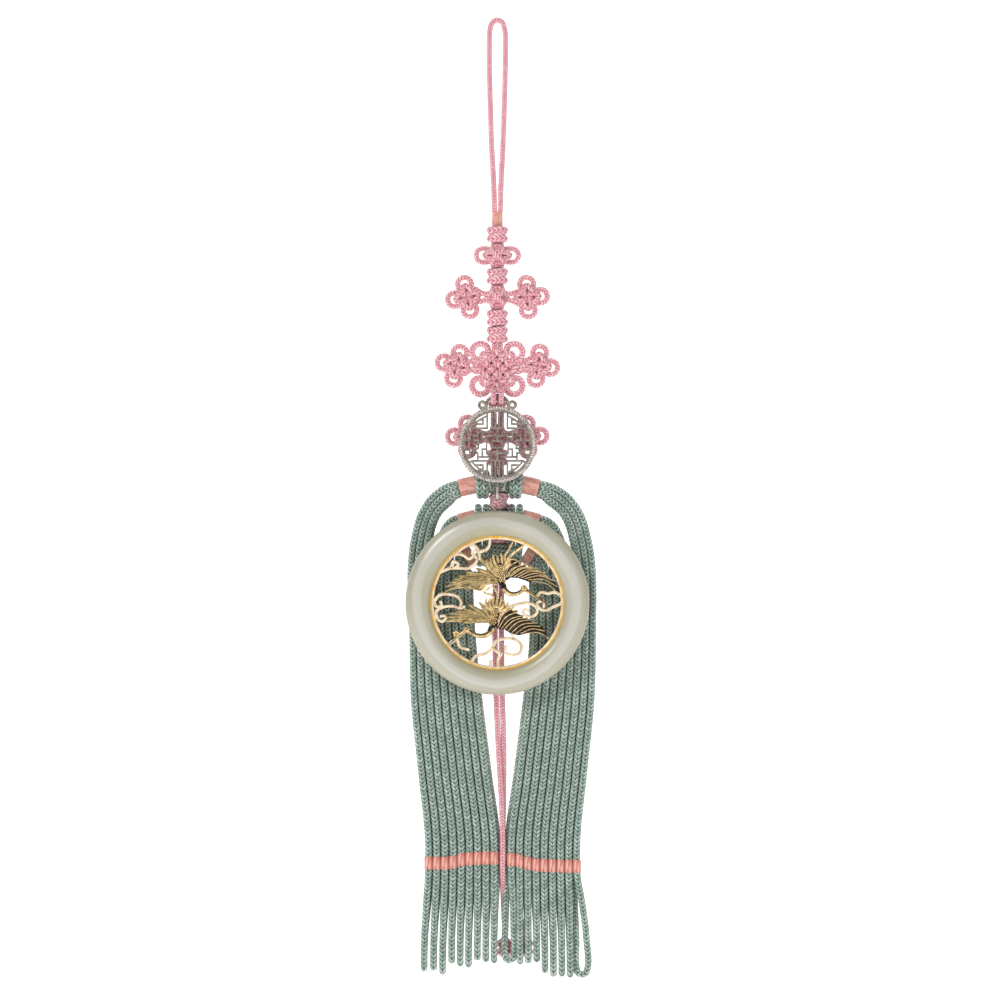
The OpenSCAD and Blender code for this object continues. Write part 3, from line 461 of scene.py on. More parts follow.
def make_wear_and_shade_group():
    """Metal tarnish in patches and specks, and painted shade on the faces that look sideways."""
    group, n, inp, out = effect_group(
        "metal_wear_and_side_shade",
        [("Bright", COLOUR, linear(0.8, 0.78, 0.75)), ("Dark", COLOUR, linear(0.2, 0.19, 0.18)),
         ("Amount", FLOAT, 0.5), ("Sides dark", FLOAT, 0.6), ("Size", FLOAT, 300.0)], SURFACE)
    coords = n.put("ShaderNodeTexCoord")
    scaled = n.put("ShaderNodeVectorMath", operation="SCALE")
    n.link(coords.outputs["Object"], scaled.inputs[0])
    n.link(inp["Size"], scaled.inputs[3])
    patch = n.noise(scaled.outputs[0], 1.0, 5, 0.6)
    speck = n.noise(scaled.outputs[0], 7.0, 2, 0.6)
    # painted shade: faces that turn sideways, away from the front, go towards the dark colour
    facing = n.math("ABSOLUTE", n.apart(coords.outputs["Normal"])[1])
    side = n.math("MULTIPLY", n.math("SUBTRACT", 1.0, n.span(facing, 0.1, 0.85)), inp["Sides dark"])
    patches = n.math("MULTIPLY", n.span(n.math("ADD", patch, n.math("MULTIPLY", speck, 0.25)), 0.5, 0.78),
                     inp["Amount"])
    wear_and_side_shade = n.math("MAXIMUM", side, patches, clamp=True)
    n.link(n.mix(wear_and_side_shade, inp["Bright"], inp["Dark"]), out["Colour"])
    n.link(n.math("ADD", n.math("MULTIPLY", speck, 0.6), patch), out["Height"])
    n.link(n.span(n.math("ADD", wear_and_side_shade, n.math("MULTIPLY", speck, 0.4)), 0.1, 1.2, 0.26, 0.6), out["Roughness"])
    return group


BRAID = make_braid_group()
THREAD = make_thread_group()
WEAR_AND_SHADE = make_wear_and_shade_group()


def new_material(name):
    """A material's node calls and its surface, to be fed by the caller."""
    mat = bpy.data.materials.new(name)
    mat.use_nodes = True
    return mat, Nodes(mat.node_tree), mat.node_tree.nodes["Principled BSDF"].inputs


def material(name, group, bump, bump_distance, shader, **values):
    """A material whose colour, height and roughness come from an effect group with its own values."""
    mat, n, surface = new_material(name)
    effect = n.put("ShaderNodeGroup", node_tree=group)
    for key, value in values.items():
        label = key.replace("_", " ")
        effect.inputs[label].default_value = linear(*value) if isinstance(value, tuple) else value
    n.link(effect.outputs["Colour"], surface["Base Color"])
    n.link(effect.outputs["Roughness"], surface["Roughness"])
    relief = n.put("ShaderNodeBump")
    relief.inputs["Strength"].default_value = bump
    relief.inputs["Distance"].default_value = bump_distance * MM
    n.link(effect.outputs["Height"], relief.inputs["Height"])
    n.link(relief.outputs[0], surface["Normal"])
    for key, value in shader.items():
        surface[key].default_value = value
    return mat


SILK = {"Sheen Weight": 0.35, "Sheen Roughness": 0.4, "Specular IOR Level": 0.4}
# each silk's first colour is its painted shade and its last its painted highlight
PINK = material("pink_silk", BRAID, 0.7, 0.12, SILK, Groove=(0.76, 0.36, 0.42), Yarn=(0.89, 0.64, 0.68),
                Shine=(0.98, 0.86, 0.87), Fibre=0.45)
GREEN = material("green_silk", BRAID, 0.8, 0.15, SILK, Groove=(0.2, 0.27, 0.23), Yarn=(0.54, 0.63, 0.58),
                 Shine=(0.8, 0.86, 0.82), Fibre=0.5)
SALMON = material("salmon_thread", THREAD, 1.0, 0.1, SILK, Groove=(0.72, 0.36, 0.28),
                  Thread=(0.92, 0.58, 0.5), Shine=(1, 0.85, 0.8), Threads_per_mm=3.2, Gleam=0.45)
CORAL = material("coral_thread", THREAD, 1.0, 0.1, SILK, Groove=(0.7, 0.26, 0.2), Thread=(0.91, 0.48, 0.4),
                 Shine=(1, 0.78, 0.72), Threads_per_mm=3.2, Gleam=0.9)


def metal(name, metallic, bump, bump_distance, bright, dark, amount, painted_side_shade, size):
    return material(name, WEAR_AND_SHADE, bump, bump_distance, {"Metallic": metallic}, Bright=bright, Dark=dark,
                    Amount=amount, Sides_dark=painted_side_shade, Size=float(size))


# each metal's dark colour serves both its darker patches and specks and the painted shade on faces that look
# sideways; the last but one value is how strong that painted shade is
SILVER = metal("oxidised_silver", 0.6, 0.35, 0.05, (0.74, 0.7, 0.66), (0.2, 0.17, 0.16), 0.75, 1.0, 700)
WIRE_SILVER = metal("bright_silver", 0.5, 0.2, 0.04, (0.9, 0.86, 0.83), (0.3, 0.26, 0.24), 0.5, 0.8, 700)
GOLD = metal("gilt", 0.7, 0.5, 0.07, (1.0, 0.9, 0.66), (0.5, 0.29, 0.1), 0.75, 1.0, 1100)
# the same gilt painted paler: a painted highlight for the rim and the clouds, which face the light
HIGHLIT_GOLD = metal("highlit_gilt", 0.4, 0.3, 0.05, (1.0, 0.95, 0.82), (0.72, 0.45, 0.2), 0.5, 1.0, 450)
DARK_FEATHER = metal("dark_feather", 0.3, 0.4, 0.06, (0.22, 0.16, 0.12), (0.07, 0.05, 0.04), 0.9, 0.8, 800)
OLIVE_FEATHER = metal("olive_feather", 0.45, 0.45, 0.06, (0.82, 0.7, 0.47), (0.34, 0.37, 0.27), 1.0, 0.6, 750)
BEZEL_GOLD = metal("deep_gold", 0.2, 0.15, 0.04, (1.0, 0.8, 0.1), (0.86, 0.56, 0.05), 0.5, 0.1, 400)

# Painted reflections and shade in bands round the jade, from the inner edge of the ring to the outer: the gold's
# yellow reflected at the inner edge, a pale band of the lamps' reflection across the middle, and darker painted
# shade on either side of it
JADE_REFLECTION_BANDS = [
    (0, (0.68, 0.62, 0.42)), (0.14, (0.66, 0.64, 0.52)), (0.34, (0.7, 0.685, 0.6)),
    (0.42, (0.78, 0.77, 0.72)), (0.66, (0.8, 0.79, 0.755)), (0.74, (0.7, 0.685, 0.61)),
    (0.9, (0.69, 0.67, 0.58)), (1, (0.64, 0.61, 0.5)),
]


def make_jade():
    mat, n, surface = new_material("jade")
    where = n.put("ShaderNodeTexCoord").outputs["Object"]
    stretch = n.put("ShaderNodeMapping")
    stretch.inputs["Scale"].default_value = (1.0, 1.0, 0.45)
    stretch.inputs["Rotation"].default_value = (0, 0.6, 0)
    n.link(where, stretch.inputs["Vector"])
    cloud = n.noise(stretch.outputs[0], 38, 4, 0.55)
    wisp = n.noise(stretch.outputs[0], 150, 3, 0.6)
    base = n.mix(n.span(cloud, 0.35, 0.68), linear(0.7, 0.69, 0.62), linear(0.78, 0.77, 0.73))
    base = n.mix(n.math("MULTIPLY", n.span(wisp, 0.55, 0.75), 0.35), base, linear(0.66, 0.64, 0.53))
    # painted reflections and shade in bands that follow the ring, a little bent by the clouds
    from_middle = n.put("ShaderNodeVectorMath", operation="DISTANCE")
    n.link(where, from_middle.inputs[0])
    from_middle.inputs[1].default_value = tuple(node_box("jade_ring")[2] * MM)
    drift = n.math("MULTIPLY", n.math("SUBTRACT", cloud, 0.5), 0.004)
    reflection_bands = n.put("ShaderNodeValToRGB")
    n.link(n.span(n.math("ADD", from_middle.outputs["Value"], drift), 0.025, 0.0345), reflection_bands.inputs[0])
    ramp = reflection_bands.color_ramp.elements
    for at, tone in JADE_REFLECTION_BANDS:
        stop = ramp[0] if at == 0 else ramp[-1] if at == 1 else ramp.new(at)
        stop.position, stop.color = at, linear(*tone)
    n.link(n.mix(0.7, base, reflection_bands.outputs["Color"]), surface["Base Color"])
    n.link(n.span(cloud, 0.3, 0.7, 0.26, 0.38), surface["Roughness"])
    for key, value in (("Subsurface Weight", 0.55), ("Subsurface Radius", (0.9, 1.0, 0.8)),
                       ("Subsurface Scale", 0.004), ("Coat Weight", 0.25), ("Coat Roughness", 0.25),
                       ("IOR", 1.6)):
        surface[key].default_value = value
    return mat


JADE = make_jade()


def finish_piece(obj, body, slot, *nodes):
    """Puts a piece on its body, in place of the solids it stands for; slot is not used."""
    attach(obj, body)
    if nodes:
        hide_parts(*nodes)
    return obj


def finish_pink(parts, name, node):
    return finish_piece(parts.make(name, PINK), "root", "pink_silk", node)


# Free cords: the hanging loop and the two centre cords, on the routes of their solids

LOOP_ROUTE = [
    (-1.15, 0, -70.8), (-1.2, 0, -66), (-1.6, 0, -56), (-2.2, 0, -44), (-2.6, 0, -32),
    (-2.9, 0, -20), (-3, 0, -9), (-2.8, 0, -3), (-1.8, 0, 0.1), (0, 0, 1.05),
    (1.8, 0, 0.1), (2.8, 0, -3), (3, 0, -9), (2.9, 0, -20), (2.6, 0, -32),
    (2.2, 0, -44), (1.6, 0, -56), (1.2, 0, -66), (1.15, 0, -70.8),
]
CENTRE_ROUTES = {
    "left": [
        (-0.5, 1.5, -201.6), (-0.6, 1.5, -208), (-0.9, 1.5, -220), (-0.8, 1.5, -235), (-0.5, 1.5, -250),
        (0.1, 1.2, -265), (0.9, 0.8, -280), (1.7, 0.4, -294), (2, 0.3, -306), (2, 0.6, -316),
        (2.1, 2.4, -324), (2.4, 5.2, -332), (2.7, 6.9, -339), (2.8, 7.2, -343.4)],
    "right": [
        (1.7, 1.5, -201.6), (1.6, 1.5, -208), (1.5, 1.5, -220), (1.6, 1.5, -235), (1.8, 1.5, -250),
        (2.3, 1.8, -265), (2.4, 2.2, -280), (2.2, 2.6, -294), (2, 2.8, -306), (2.2, 3.6, -316),
        (4.2, 6.2, -324), (7.4, 7.2, -332), (9.9, 7.4, -339), (10.4, 7.4, -343.4)],
}


FREE_CORD_STEP = 0.42
PATH_EVERY = 4


def free_cord(name, route, node):
    line, _ = even_line(smooth_line(route), FREE_CORD_STEP)
    parts = Parts()
    braided(parts, line, PINK_R + 0.07, sides=14)
    obj = finish_pink(parts, name, node)
    path = line[::PATH_EVERY]
    if len(line) % PATH_EVERY != 1:
        path = np.concatenate([path, line[-1:]])


# Knots

TURN_POINTS = 44
TURN_SQUARE = 0.8


def turn_line(centre, wide, deep, tilt):
    """One closed turn round the cord pair, tilted across the front."""
    angle = np.linspace(0, FULL_TURN, TURN_POINTS, endpoint=False)
    x, y = soft_square(angle, TURN_SQUARE)
    x, y = x * wide, y * deep
    return np.stack([centre[0] + x, centre[1] + y, centre[2] - x * tilt * np.sin(angle)], 1)


ROUND_KNOT_H = 6.1
TURN_R = 1.35


def double_knot(name, node, stem=False, tilt=0.16):
    """A round knot drawn up tight: two turns of cord, and the cord crossing over between them. The
    node of a knot with a stem is longer than its knot."""
    lo, hi, centre = node_box(node)
    wide = (hi[0] - lo[0]) / 2
    height = ROUND_KNOT_H if stem else hi[2] - lo[2]
    r = height / 4
    thick = min(r, TURN_R)
    parts = Parts()
    for z, slant, start in ((hi[2] - r + 0.1, tilt, 0.0), (hi[2] - 3 * r - 0.1, 0.55 * tilt, 0.3)):
        line = turn_line((centre[0], centre[1], z), wide - thick, wide - thick, slant)
        braided(parts, line, thick, closed=True, toward=(0, 0, 1), sides=14, pitch=1.3, start=start)
    crossing = np.array([centre[0], centre[1], hi[2] - 2 * r])
    for s in SIDES:
        over = [(s * (wide - 1.9), 0.4, 1.0), (s * (wide - 1.5), -wide + 2.6, 0.75),
                (s * 0.9, -wide + 1.15, 0.25), (-s * 1.1, -wide + 1.05, -0.3),
                (-s * (wide - 1.7), -wide + 2.5, -0.8), (-s * (wide - 2.0), 0.3, -1.0)]
        braided(parts, smooth_line(np.array(over) * (1, s, 1) + crossing), PINK_R)
    for x in (-1.0, 1.0):
        braided(parts, [(centre[0] + x, centre[1], z) for z in (hi[2] + 0.3, lo[2] - 0.3)], PINK_R)
    return finish_pink(parts, name, node)


# One quarter of a clover: from the outermost point of the right ear, under and over through the
# middle, round the tip in the left ear and out to the outermost point of the top ear
CLOVER_QUARTER = [
    (7.4, 0.0, 0), (6.75, 0.2, -1.8), (4.9, 0.55, -2.62), (3.3, 0.95, -2.15), (2.1, 1.0, -1.4),
    (1.15, 0.85, -1.12), (0, 0.1, -1.05), (-1.15, -0.8, -1.12), (-2.8, -0.8, -1.15), (-4.0, -0.6, -0.75),
    (-4.3, -0.5, 0), (-3.9, -0.6, 0.8), (-3.0, -0.8, 1.45), (-2.4, -0.4, 2.3), (-2.35, 0.35, 3.5),
    (-2.6, 0.5, 4.9), (-1.8, 0.2, 6.75),
]


# How far the legs reach into the knot beside the clover, and a clover's middle from its outer edge
CLOVER_LEGS = 10.2
CLOVER_OUT = 8.9


def clover_line(turn, side):
    """The line of a side clover, open at the ear that faces the knot, where its two legs come out."""
    quarter = np.array(CLOVER_QUARTER)
    ears = np.concatenate([quarter @ turned(90 * k).T for k in range(4)])
    facing = (2 if side > 0 else 0) * len(quarter)
    ears = np.roll(ears, -facing, 0)[3:-2] @ turned(turn).T
    up = 1 if ears[0][2] > 0 else -1
    first, last = ([(-side * CLOVER_LEGS, 0.1, z * 0.9), (-side * 7.0, 0.2, z * 1.05),
                    (-side * 5.0, 0.3, z * 1.65)] for z in (up, -up))
    return smooth_line(np.concatenate([first, ears, last[::-1]]), per=6)


def side_clover(name, node, side, turn):
    """A clover beside the knot that holds it."""
    lo, hi, centre = node_box(node)
    centre[0] = hi[0] - CLOVER_OUT if side > 0 else lo[0] + CLOVER_OUT
    parts = Parts()
    braided(parts, clover_line(turn, side) + centre, KNOT_R)
    # the rear layer, seen between the crossings
    for angle in (turn, turn + 90):
        for aside in (-1.1, 1.1):
            across = np.array([(k, 1.2 - 0.1 * abs(k), aside) for k in (-3.3, -1.6, 0, 1.6, 3.3)])
            braided(parts, smooth_line(across @ turned(angle).T + centre), KNOT_R + 0.3)
    finish_pink(parts, name, node)


EAR_WIDE = 2.65
EAR_TIP = 4.7


def open_ear(parts, centre, side, reach):
    """A round ear whose feet go into the knot's middle, with the tip of a bight inside it."""
    x, wide, half = side * reach, EAR_WIDE, EAR_TIP
    ring = [(side * 1.0, 0.4, 1.6), (side * 2.4, 0.6, 2.1), (x - side * wide, 0.6, wide - 0.05),
            (x - side * 0.75, 0.3, 0.72 * wide), (x, 0, 0)]
    tip = [(side * 0.4, -2.2, 1.15), (side * 2.2, -1.6, 1.15), (side * (half - 0.9), -1.0, 0.95),
           (side * half, -0.7, 0)]
    for upper in (ring, tip):
        lower = [(a, b, -c) for a, b, c in upper[-2::-1]]
        braided(parts, smooth_line(np.array(upper + lower) + centre), PINK_R)
    braided(parts, np.array([(side * 0.8, 0.8, 0), (side * (half - 1.0), 0.3, 0)]) + centre, PINK_R)


MIDDLE_REACH = 3.3
MIDDLE_DEPTH = 2.7


def crossed_middle(parts, centre, height):
    """The middle of a clover or wing knot: two bights that cross over the cord pair, front and rear."""
    h, reach, depth = height / 2 - PINK_R + 0.2, MIDDLE_REACH, MIDDLE_DEPTH
    bights = [[(s * 1.1, 0.2, h + 0.9), (s * 1.5, -0.6, h), (s * 1.9, -1.7, h * 0.62), (s * 0.9, -depth, 0.9),
               (-s * 0.9, -depth + 0.5 * (1 + s), -0.9), (-s * 1.9, -1.7, -h * 0.62),
               (-s * 1.5, -0.6, -h), (-s * 1.1, 0.2, -h - 0.9)] for s in SIDES]
    hooks = [[(s * reach, 0.4, 1.4), (s * 1.6, -1.6, 1.7), (0, -depth + 0.3, s * 1.2 + 0.2),
              (-s * 1.5, -1.8, -1.5), (-s * reach, 0.3, -1.5)] for s in SIDES]
    for front in bights + hooks:
        for face in (1, -1):
            braided(parts, smooth_line(np.array(front) * (1, face, 1) + centre), KNOT_R)
    core = [(0, 0, h + 0.6), (0, 0, -h - 0.6)]
    braided(parts, np.array(core, float) + centre, 1.9)


def crossed_knot(name, node, ears=False):
    """A clover knot with its two ears, or a wing knot, whose side clovers are pieces of their own."""
    lo, hi, centre = node_box(node)
    parts = Parts()
    crossed_middle(parts, centre, hi[2] - lo[2])
    if ears:
        for side in SIDES:
            open_ear(parts, centre, side, hi[0] - centre[0] - PINK_R)
    finish_pink(parts, name, node)


# The woven knot, drawn in its own square and then turned to stand on a corner

WEAVE_PITCH = 3.1
WEAVE_HALF = 1.5 * WEAVE_PITCH
WEAVE_EAR = 7.4
WEAVE_R = 1.3


def weave_row(i, over):
    """A line across the weave, over and under the lines that cross it."""
    return [((j - 1.5) * WEAVE_PITCH, over * math.cos(math.pi * (j + i)), (i - 1.5) * WEAVE_PITCH)
            for j in (0, 0.5, 1, 1.5, 2, 2.5, 3)]


def weave_bight(side):
    """The ear in which a line turns back at a side of the weave."""
    x, w = side * WEAVE_HALF, WEAVE_PITCH / 2
    lower = [(x + side * 1.6, 0, -w - 0.2), (x + side * 0.55 * WEAVE_EAR, 0, -w - 1.6),
             (x + side * 0.9 * WEAVE_EAR, 0, -w - 0.5)]
    return lower + [(x + side * WEAVE_EAR, 0, 0)] + [(a, b, -c) for a, b, c in lower[::-1]]


def make_woven_knot():
    _, hi, centre = node_box("woven_knot")
    centre = centre - (0, 0, 1.2)
    ring = weave_row(1, 1) + weave_bight(1) + weave_row(2, 1)[::-1] + weave_bight(-1)[::-1]
    far, out = WEAVE_HALF, WEAVE_HALF + 1.5 * PINK_R
    strand = ([(out, 0, far)] + weave_row(3, 1)[::-1]
              + [(-far - 1.4, 0, far + 0.2), (-far - 1.7, 0, far + 1.7), (-far - 0.2, 0, far + 1.4)]
              + [p[::-1] for p in weave_row(0, -1)[::-1]] + [(-far, 0, -out)])
    on_corner = turned(45).T
    parts = Parts()
    for line, closed in ((np.array(ring), True), (np.array(strand), False)):
        for laid in (line, (line * (1, -1, 1))[:, ::-1]):
            braided(parts, smooth_line(laid @ on_corner + centre, closed), WEAVE_R, closed=closed)
    # the rear layer, whose lines lie between those of the front
    for i in (-1, 0, 1):
        rear = np.array([(x * WEAVE_PITCH, 1.7 + 0.45 * (1 if (j + i) % 2 else -1), i * WEAVE_PITCH)
                         for j, x in enumerate((-1.8, -1, 0, 1, 1.8))])
        for laid in (rear, rear[:, ::-1]):
            braided(parts, smooth_line(laid @ on_corner + centre), WEAVE_R)
    # the tip of a bight pokes a little way into each ear
    tip = np.array([(4.4, -1.0, 1.1), (6.0, -1.2, 1.15), (7.4, -0.9, 0.95), (7.95, -0.6, 0),
                    (7.4, -0.9, -0.95), (6.0, -1.2, -1.15), (4.4, -1.0, -1.1)])
    for k in range(4):
        braided(parts, smooth_line(tip @ turned(90 * k).T @ on_corner + centre), PINK_R)
    # the two cords come in at the top corner
    for x in (-1.1, 1.1):
        braided(parts, [centre + (x, 0, 5), centre + (x, 0, hi[2] - centre[2] + 1.2)], KNOT_R)
    # the last turns, drawn up round the two cords over the disc's bail and behind it
    for at, wide, deep in (((0, 1.6, 1.75), 2.3, 1.9), ((0, 3.4, -1.3), 2.4, 1.3), ((0, 3.1, -3.3), 2.6, 1.5)):
        braided(parts, turn_line(joint_at("disc_swing") + at, wide, deep, 0.12), 1.0, closed=True,
                toward=(0, 0, 1))
    finish_pink(parts, "woven_knot_silk", "woven_knot")


# From inside the woven knot over the disc's bail, back through it and down behind the disc
BAIL_ROUTE = [
    (1.15, 3.2, 4.4), (1.15, 3.2, 3.05), (1.2, 3.1, 2.5), (1.35, 2.5, 2.05), (1.45, 1.4, 1.95), (1.5, 0, 2),
    (1.5, -1.4, 1.5), (1.5, -2.1, 0.2), (1.5, -1.85, -1.3), (1.5, -0.7, -2.35),
    (1.45, 0.9, -2.65), (1.4, 2.3, -3.2), (1.3, 3.5, -4.7), (1.2, 4.3, -6.8),
    (1.15, 4.7, -9), (1.15, 4.7, -10.75),
]


def make_bail_cords():
    for side in SIDES:
        route = np.array(BAIL_ROUTE) * (side, 1, 1) + joint_at("disc_swing")
        parts = Parts()
        braided(parts, smooth_line(route), PINK_R, toward=(1, 0, 0))
        finish_pink(parts, "bail_cord_silk_" + WORD[side], "bail_cord_" + WORD[side])


# Thread binding

BINDING_ROWS = 28
BINDING_SIDES = 40
BINDING_SQUARE = 0.75


def make_binding():
    lo, hi, centre = node_box("loop_binding")
    wide, deep = (hi[0] - lo[0]) / 2, (hi[1] - lo[1]) / 2 + 0.15
    x, y = soft_square(FULL_TURN * np.arange(BINDING_SIDES) / BINDING_SIDES, BINDING_SQUARE)
    rings = []
    for i in range(BINDING_ROWS + 1):
        s = i / BINDING_ROWS
        pinch = 1 - 0.06 * (2 * s - 1) ** 4 + 0.008 * (i % 2)
        z = np.full(BINDING_SIDES, lo[2] - 0.1 + s * (hi[2] - lo[2] + 0.2))
        rings.append(np.stack([centre[0] + x * wide * pinch, centre[1] + y * deep * pinch, z], 1))
    parts = Parts()
    sleeve(parts, rings, 0.19, 4)
    finish_piece(parts.make("loop_binding_thread", SALMON), "root", "salmon_thread", "loop_binding")


# Tassel, with the same named sizes as its solids

GREEN_PITCH = 1.5
STRAND_PITCH = 2.5
BAND_PITCH = 3.07
TASSEL_X, HEAD_X, BACK_Y = 2.0, 0.6, 1.5
TASSEL_W, BAND_DROP, BAND_H, LOOP_DROP = 67.4, 115.0, 4.8, 38.0
HEAD_W, WRAP_D, COIL_D = 17.4, 6.8, 10.4
BUNDLE_PITCH = 1.9
CLEAR = 0.15
COLUMNS = 3
# How far a strand pair's rear cord stands aside, as a share of the pitch
REAR_ASIDE = 0.4
# Half a strand's thickness along it: slimmer where it is drawn into its wrap
STRAND_R = [1.22, 1.24, 1.3, 1.35, 1.36, 1.36, 1.36, 1.35, 1.3, 1.24, 1.22]
# Each tier: the tilt of its wraps and a wrap's length, then its strands' outermost arch as an ellipse:
# its middle's distance from the axis and drop below the head, half width, half height and start angle
Tier = namedtuple("Tier", "tilt wrap_length arch_out arch_drop arch_wide arch_high arch_start")
TIERS = {
    1: Tier(13, 6.2, 15.1, 25.2, 17.8, 25.2, 73),
    2: Tier(15, 6.2, 15.1, 24, 10.1, 24.6, 61),
    3: Tier(31, 3.2, 11, 13.7, 6.5, 15.5, 36),
}
HEAD_Z = {tier: float(node_box("tassel_head_%d" % tier)[2][2]) for tier in TIERS}
# Rows of the spread: share of the drop to the bands, share of the half width, and how far the pitch
# has grown from the strands' to the bands'
Row = namedtuple("Row", "drop width pitch")
SPREAD = [Row(0.29, 1, 0.35), Row(0.47, 0.985, 0.7), Row(0.72, 0.9, 0.85), Row(0.95, 0.825, 1),
          Row(1.04, 0.825, 1)]
BAND_ROW = Row(1, 0.825, 1)
# Each loop below its band, from the outermost in: share of the drop, sideways drift, half opening,
# and the turn of the opening, edge-on at 90 degrees and seen open from the front at 0
LOOPS = {
    -1: [(0.95, -1.6, 1.5, 90), (0.94, -1.1, 1.6, 90), (0.98, -0.8, 1.5, 90), (0.87, -0.5, 1.6, 90),
         (0.9, -0.4, 1.5, 90), (0.91, -0.3, 1.6, 90), (0.84, -0.1, 1.5, 90), (0.86, 0, 1.6, 90),
         (0.87, 0, 1.5, 90)],
    1: [(1.01, 1.9, 2, 0), (1.01, 0.5, 1.5, 90), (1, 0.5, 1.6, 90), (1, 0.4, 1.5, 90),
        (0.97, 0.3, 1.6, 90), (0.86, 0.3, 1.5, 90), (0.87, 0.2, 1.6, 90), (0.88, 0.2, 1.5, 90),
        (0.87, -0.7, 1.6, 0)],
}
# How far each band sits above or below its row, from the outermost in
BAND_SHIFT = {-1: [-1.2, -1.3, -1.2, -0.9, 0, 0.4, 0.5, 0.7, 0.6],
              1: [-2.4, -2.4, -2.3, -2.2, -2.1, -1.9, -1.3, -0.3, 0.1]}


def from_outermost(tier, column):
    """A strand pair's number, counted in from the outermost of its side."""
    return (tier - 1) * COLUMNS + column


def column_at(side, k, row):
    """The middle of strand pair k at a row of the spread."""
    pitch = STRAND_PITCH + row.pitch * (BAND_PITCH - STRAND_PITCH)
    half = row.width * TASSEL_W / 2 - k * pitch
    return np.array([TASSEL_X + side * half, BACK_Y, HEAD_Z[3] - row.drop * BAND_DROP])


def arch_at(tier, side, column, angle):
    """A point of a strand pair's arch, at an angle up from its outer end."""
    t, inset, a = TIERS[tier], column * STRAND_PITCH, math.radians(angle)
    shift = (TASSEL_X - HEAD_X) * math.cos(a) * 0.6
    return np.array([HEAD_X + side * (t.arch_out + (t.arch_wide - inset) * math.cos(a)) + shift,
                     BACK_Y, HEAD_Z[tier] - t.arch_drop + (t.arch_high - inset) * math.sin(a)])


def wrap_start(tier):
    """How far out along its axis a wrap starts, so that its tilted end stands clear of the head."""
    tilt = math.radians(TIERS[tier].tilt)
    return (CLEAR + WRAP_D / 2 * math.sin(tilt)) / math.cos(tilt)


def bundle_at(tier, side, column, out):
    """A point on a strand pair's way out of its wrap, out from the wrap's end."""
    tilt = math.radians(TIERS[tier].tilt)
    along, across = wrap_start(tier) + TIERS[tier].wrap_length + out, (1 - column) * BUNDLE_PITCH
    return np.array([
        HEAD_X + side * (HEAD_W / 2 + along * math.cos(tilt) + across * math.sin(tilt)), BACK_Y,
        HEAD_Z[tier] - along * math.sin(tilt) + across * math.cos(tilt)])


def column_line(tier, side, column):
    """A strand pair's way out of its wrap, over its arch and down to its band."""
    return ([bundle_at(tier, side, column, out) for out in (-0.6, 0.8)]
            + [arch_at(tier, side, column, TIERS[tier].arch_start * s) for s in (1, 0.7, 0.42, 0.17)]
            + [column_at(side, from_outermost(tier, column), row) for row in SPREAD])


def loop_line(tier, side, column):
    """One cord: down its column in front, round its open lower end and up again behind."""
    drop_share, drift, opening, turn = LOOPS[side][from_outermost(tier, column)]
    line, rear = column_line(tier, side, column), column_line(tier, side, column + REAR_ASIDE)
    top, half = line[-1], STRAND_PITCH / 2
    sink = drop_share * LOOP_DROP - opening
    low = []
    for down, share in ((0.35, 0.5), (0.7, 0.9), (1, 1)):
        a = math.radians(90 + (turn - 90) * share)
        low.append((top + np.array([drift * share, 0, -down * sink]),
                    (half + (opening - half) * share) * np.array([math.cos(a), -math.sin(a), 0])))
    c, s = math.cos(math.radians(turn)), math.sin(math.radians(turn))
    bottom = [low[2][0] + opening * np.array([c * math.cos(b), -s * math.cos(b), -math.sin(b)])
              for b in np.radians((30, 60, 90, 120, 150))]
    depth, aside = np.array([0, half, 0]), rear[-1] - line[-1]
    return ([p - depth for p in line] + [q + w for q, w in low] + bottom
            + [q - w + aside * (1 - share) for (q, w), share in zip(low[::-1], (1, 0.9, 0.5))]
            + [p + depth for p in rear[::-1]])


def wrap_matrix(tier, side):
    """Places a form made along +Z on a wrap's axis, starting where the wrap starts."""
    tilt = math.radians(TIERS[tier].tilt)
    axis = Vector((side * math.cos(tilt), 0, -math.sin(tilt)))
    turn = Vector((0, 0, 1)).rotation_difference(axis).to_matrix().to_4x4()
    head = Vector((HEAD_X + side * HEAD_W / 2, BACK_Y, HEAD_Z[tier]))
    return Matrix.Translation(head + axis * wrap_start(tier)) @ turn


def make_strands(tier, side):
    parts = Parts()
    for column in range(COLUMNS):
        line = smooth_line(loop_line(tier, side, column))
        braided(parts, line, STRAND_R, toward=(side, 0, 0.01), pitch=GREEN_PITCH, start=0.37 * column)
    name = "%d_%s" % (tier, WORD[side])
    finish_piece(parts.make("tassel_loops_" + name, GREEN), "root", "green_silk", "strands_" + name)


# A wrap goes this far in among the head's turns, and its threads close round the strands at its ends
WRAP_TUCK = 1.3
WRAP_MOUTH_R = 2.4
WRAP_THREAD = 0.2


def make_wrap(tier, side):
    length = TIERS[tier].wrap_length + WRAP_TUCK - 0.8
    rows = int(length / WRAP_THREAD)
    rng = random.Random(10 * tier + side)
    profile = [(WRAP_MOUTH_R, 0.15 - WRAP_TUCK)]
    for i in range(rows + 1):
        s = i / rows
        crown = 0.1 * (1 - (2 * s - 1) ** 6)
        profile.append((WRAP_D / 2 - 0.1 + crown + rng.uniform(-0.03, 0.03), s * length - WRAP_TUCK))
    profile.append((WRAP_MOUTH_R, length - WRAP_TUCK - 0.15))
    parts = Parts()
    lathe(parts, profile, 44, wrap_matrix(tier, side), closed=False, lengths_round=5)
    name = "%d_%s" % (tier, WORD[side])
    finish_piece(parts.make("wrap_thread_" + name, SALMON), "root", "salmon_thread", "thread_wrap_" + name)


BAND_ROWS = 22
BAND_R = GREEN_R + 0.3


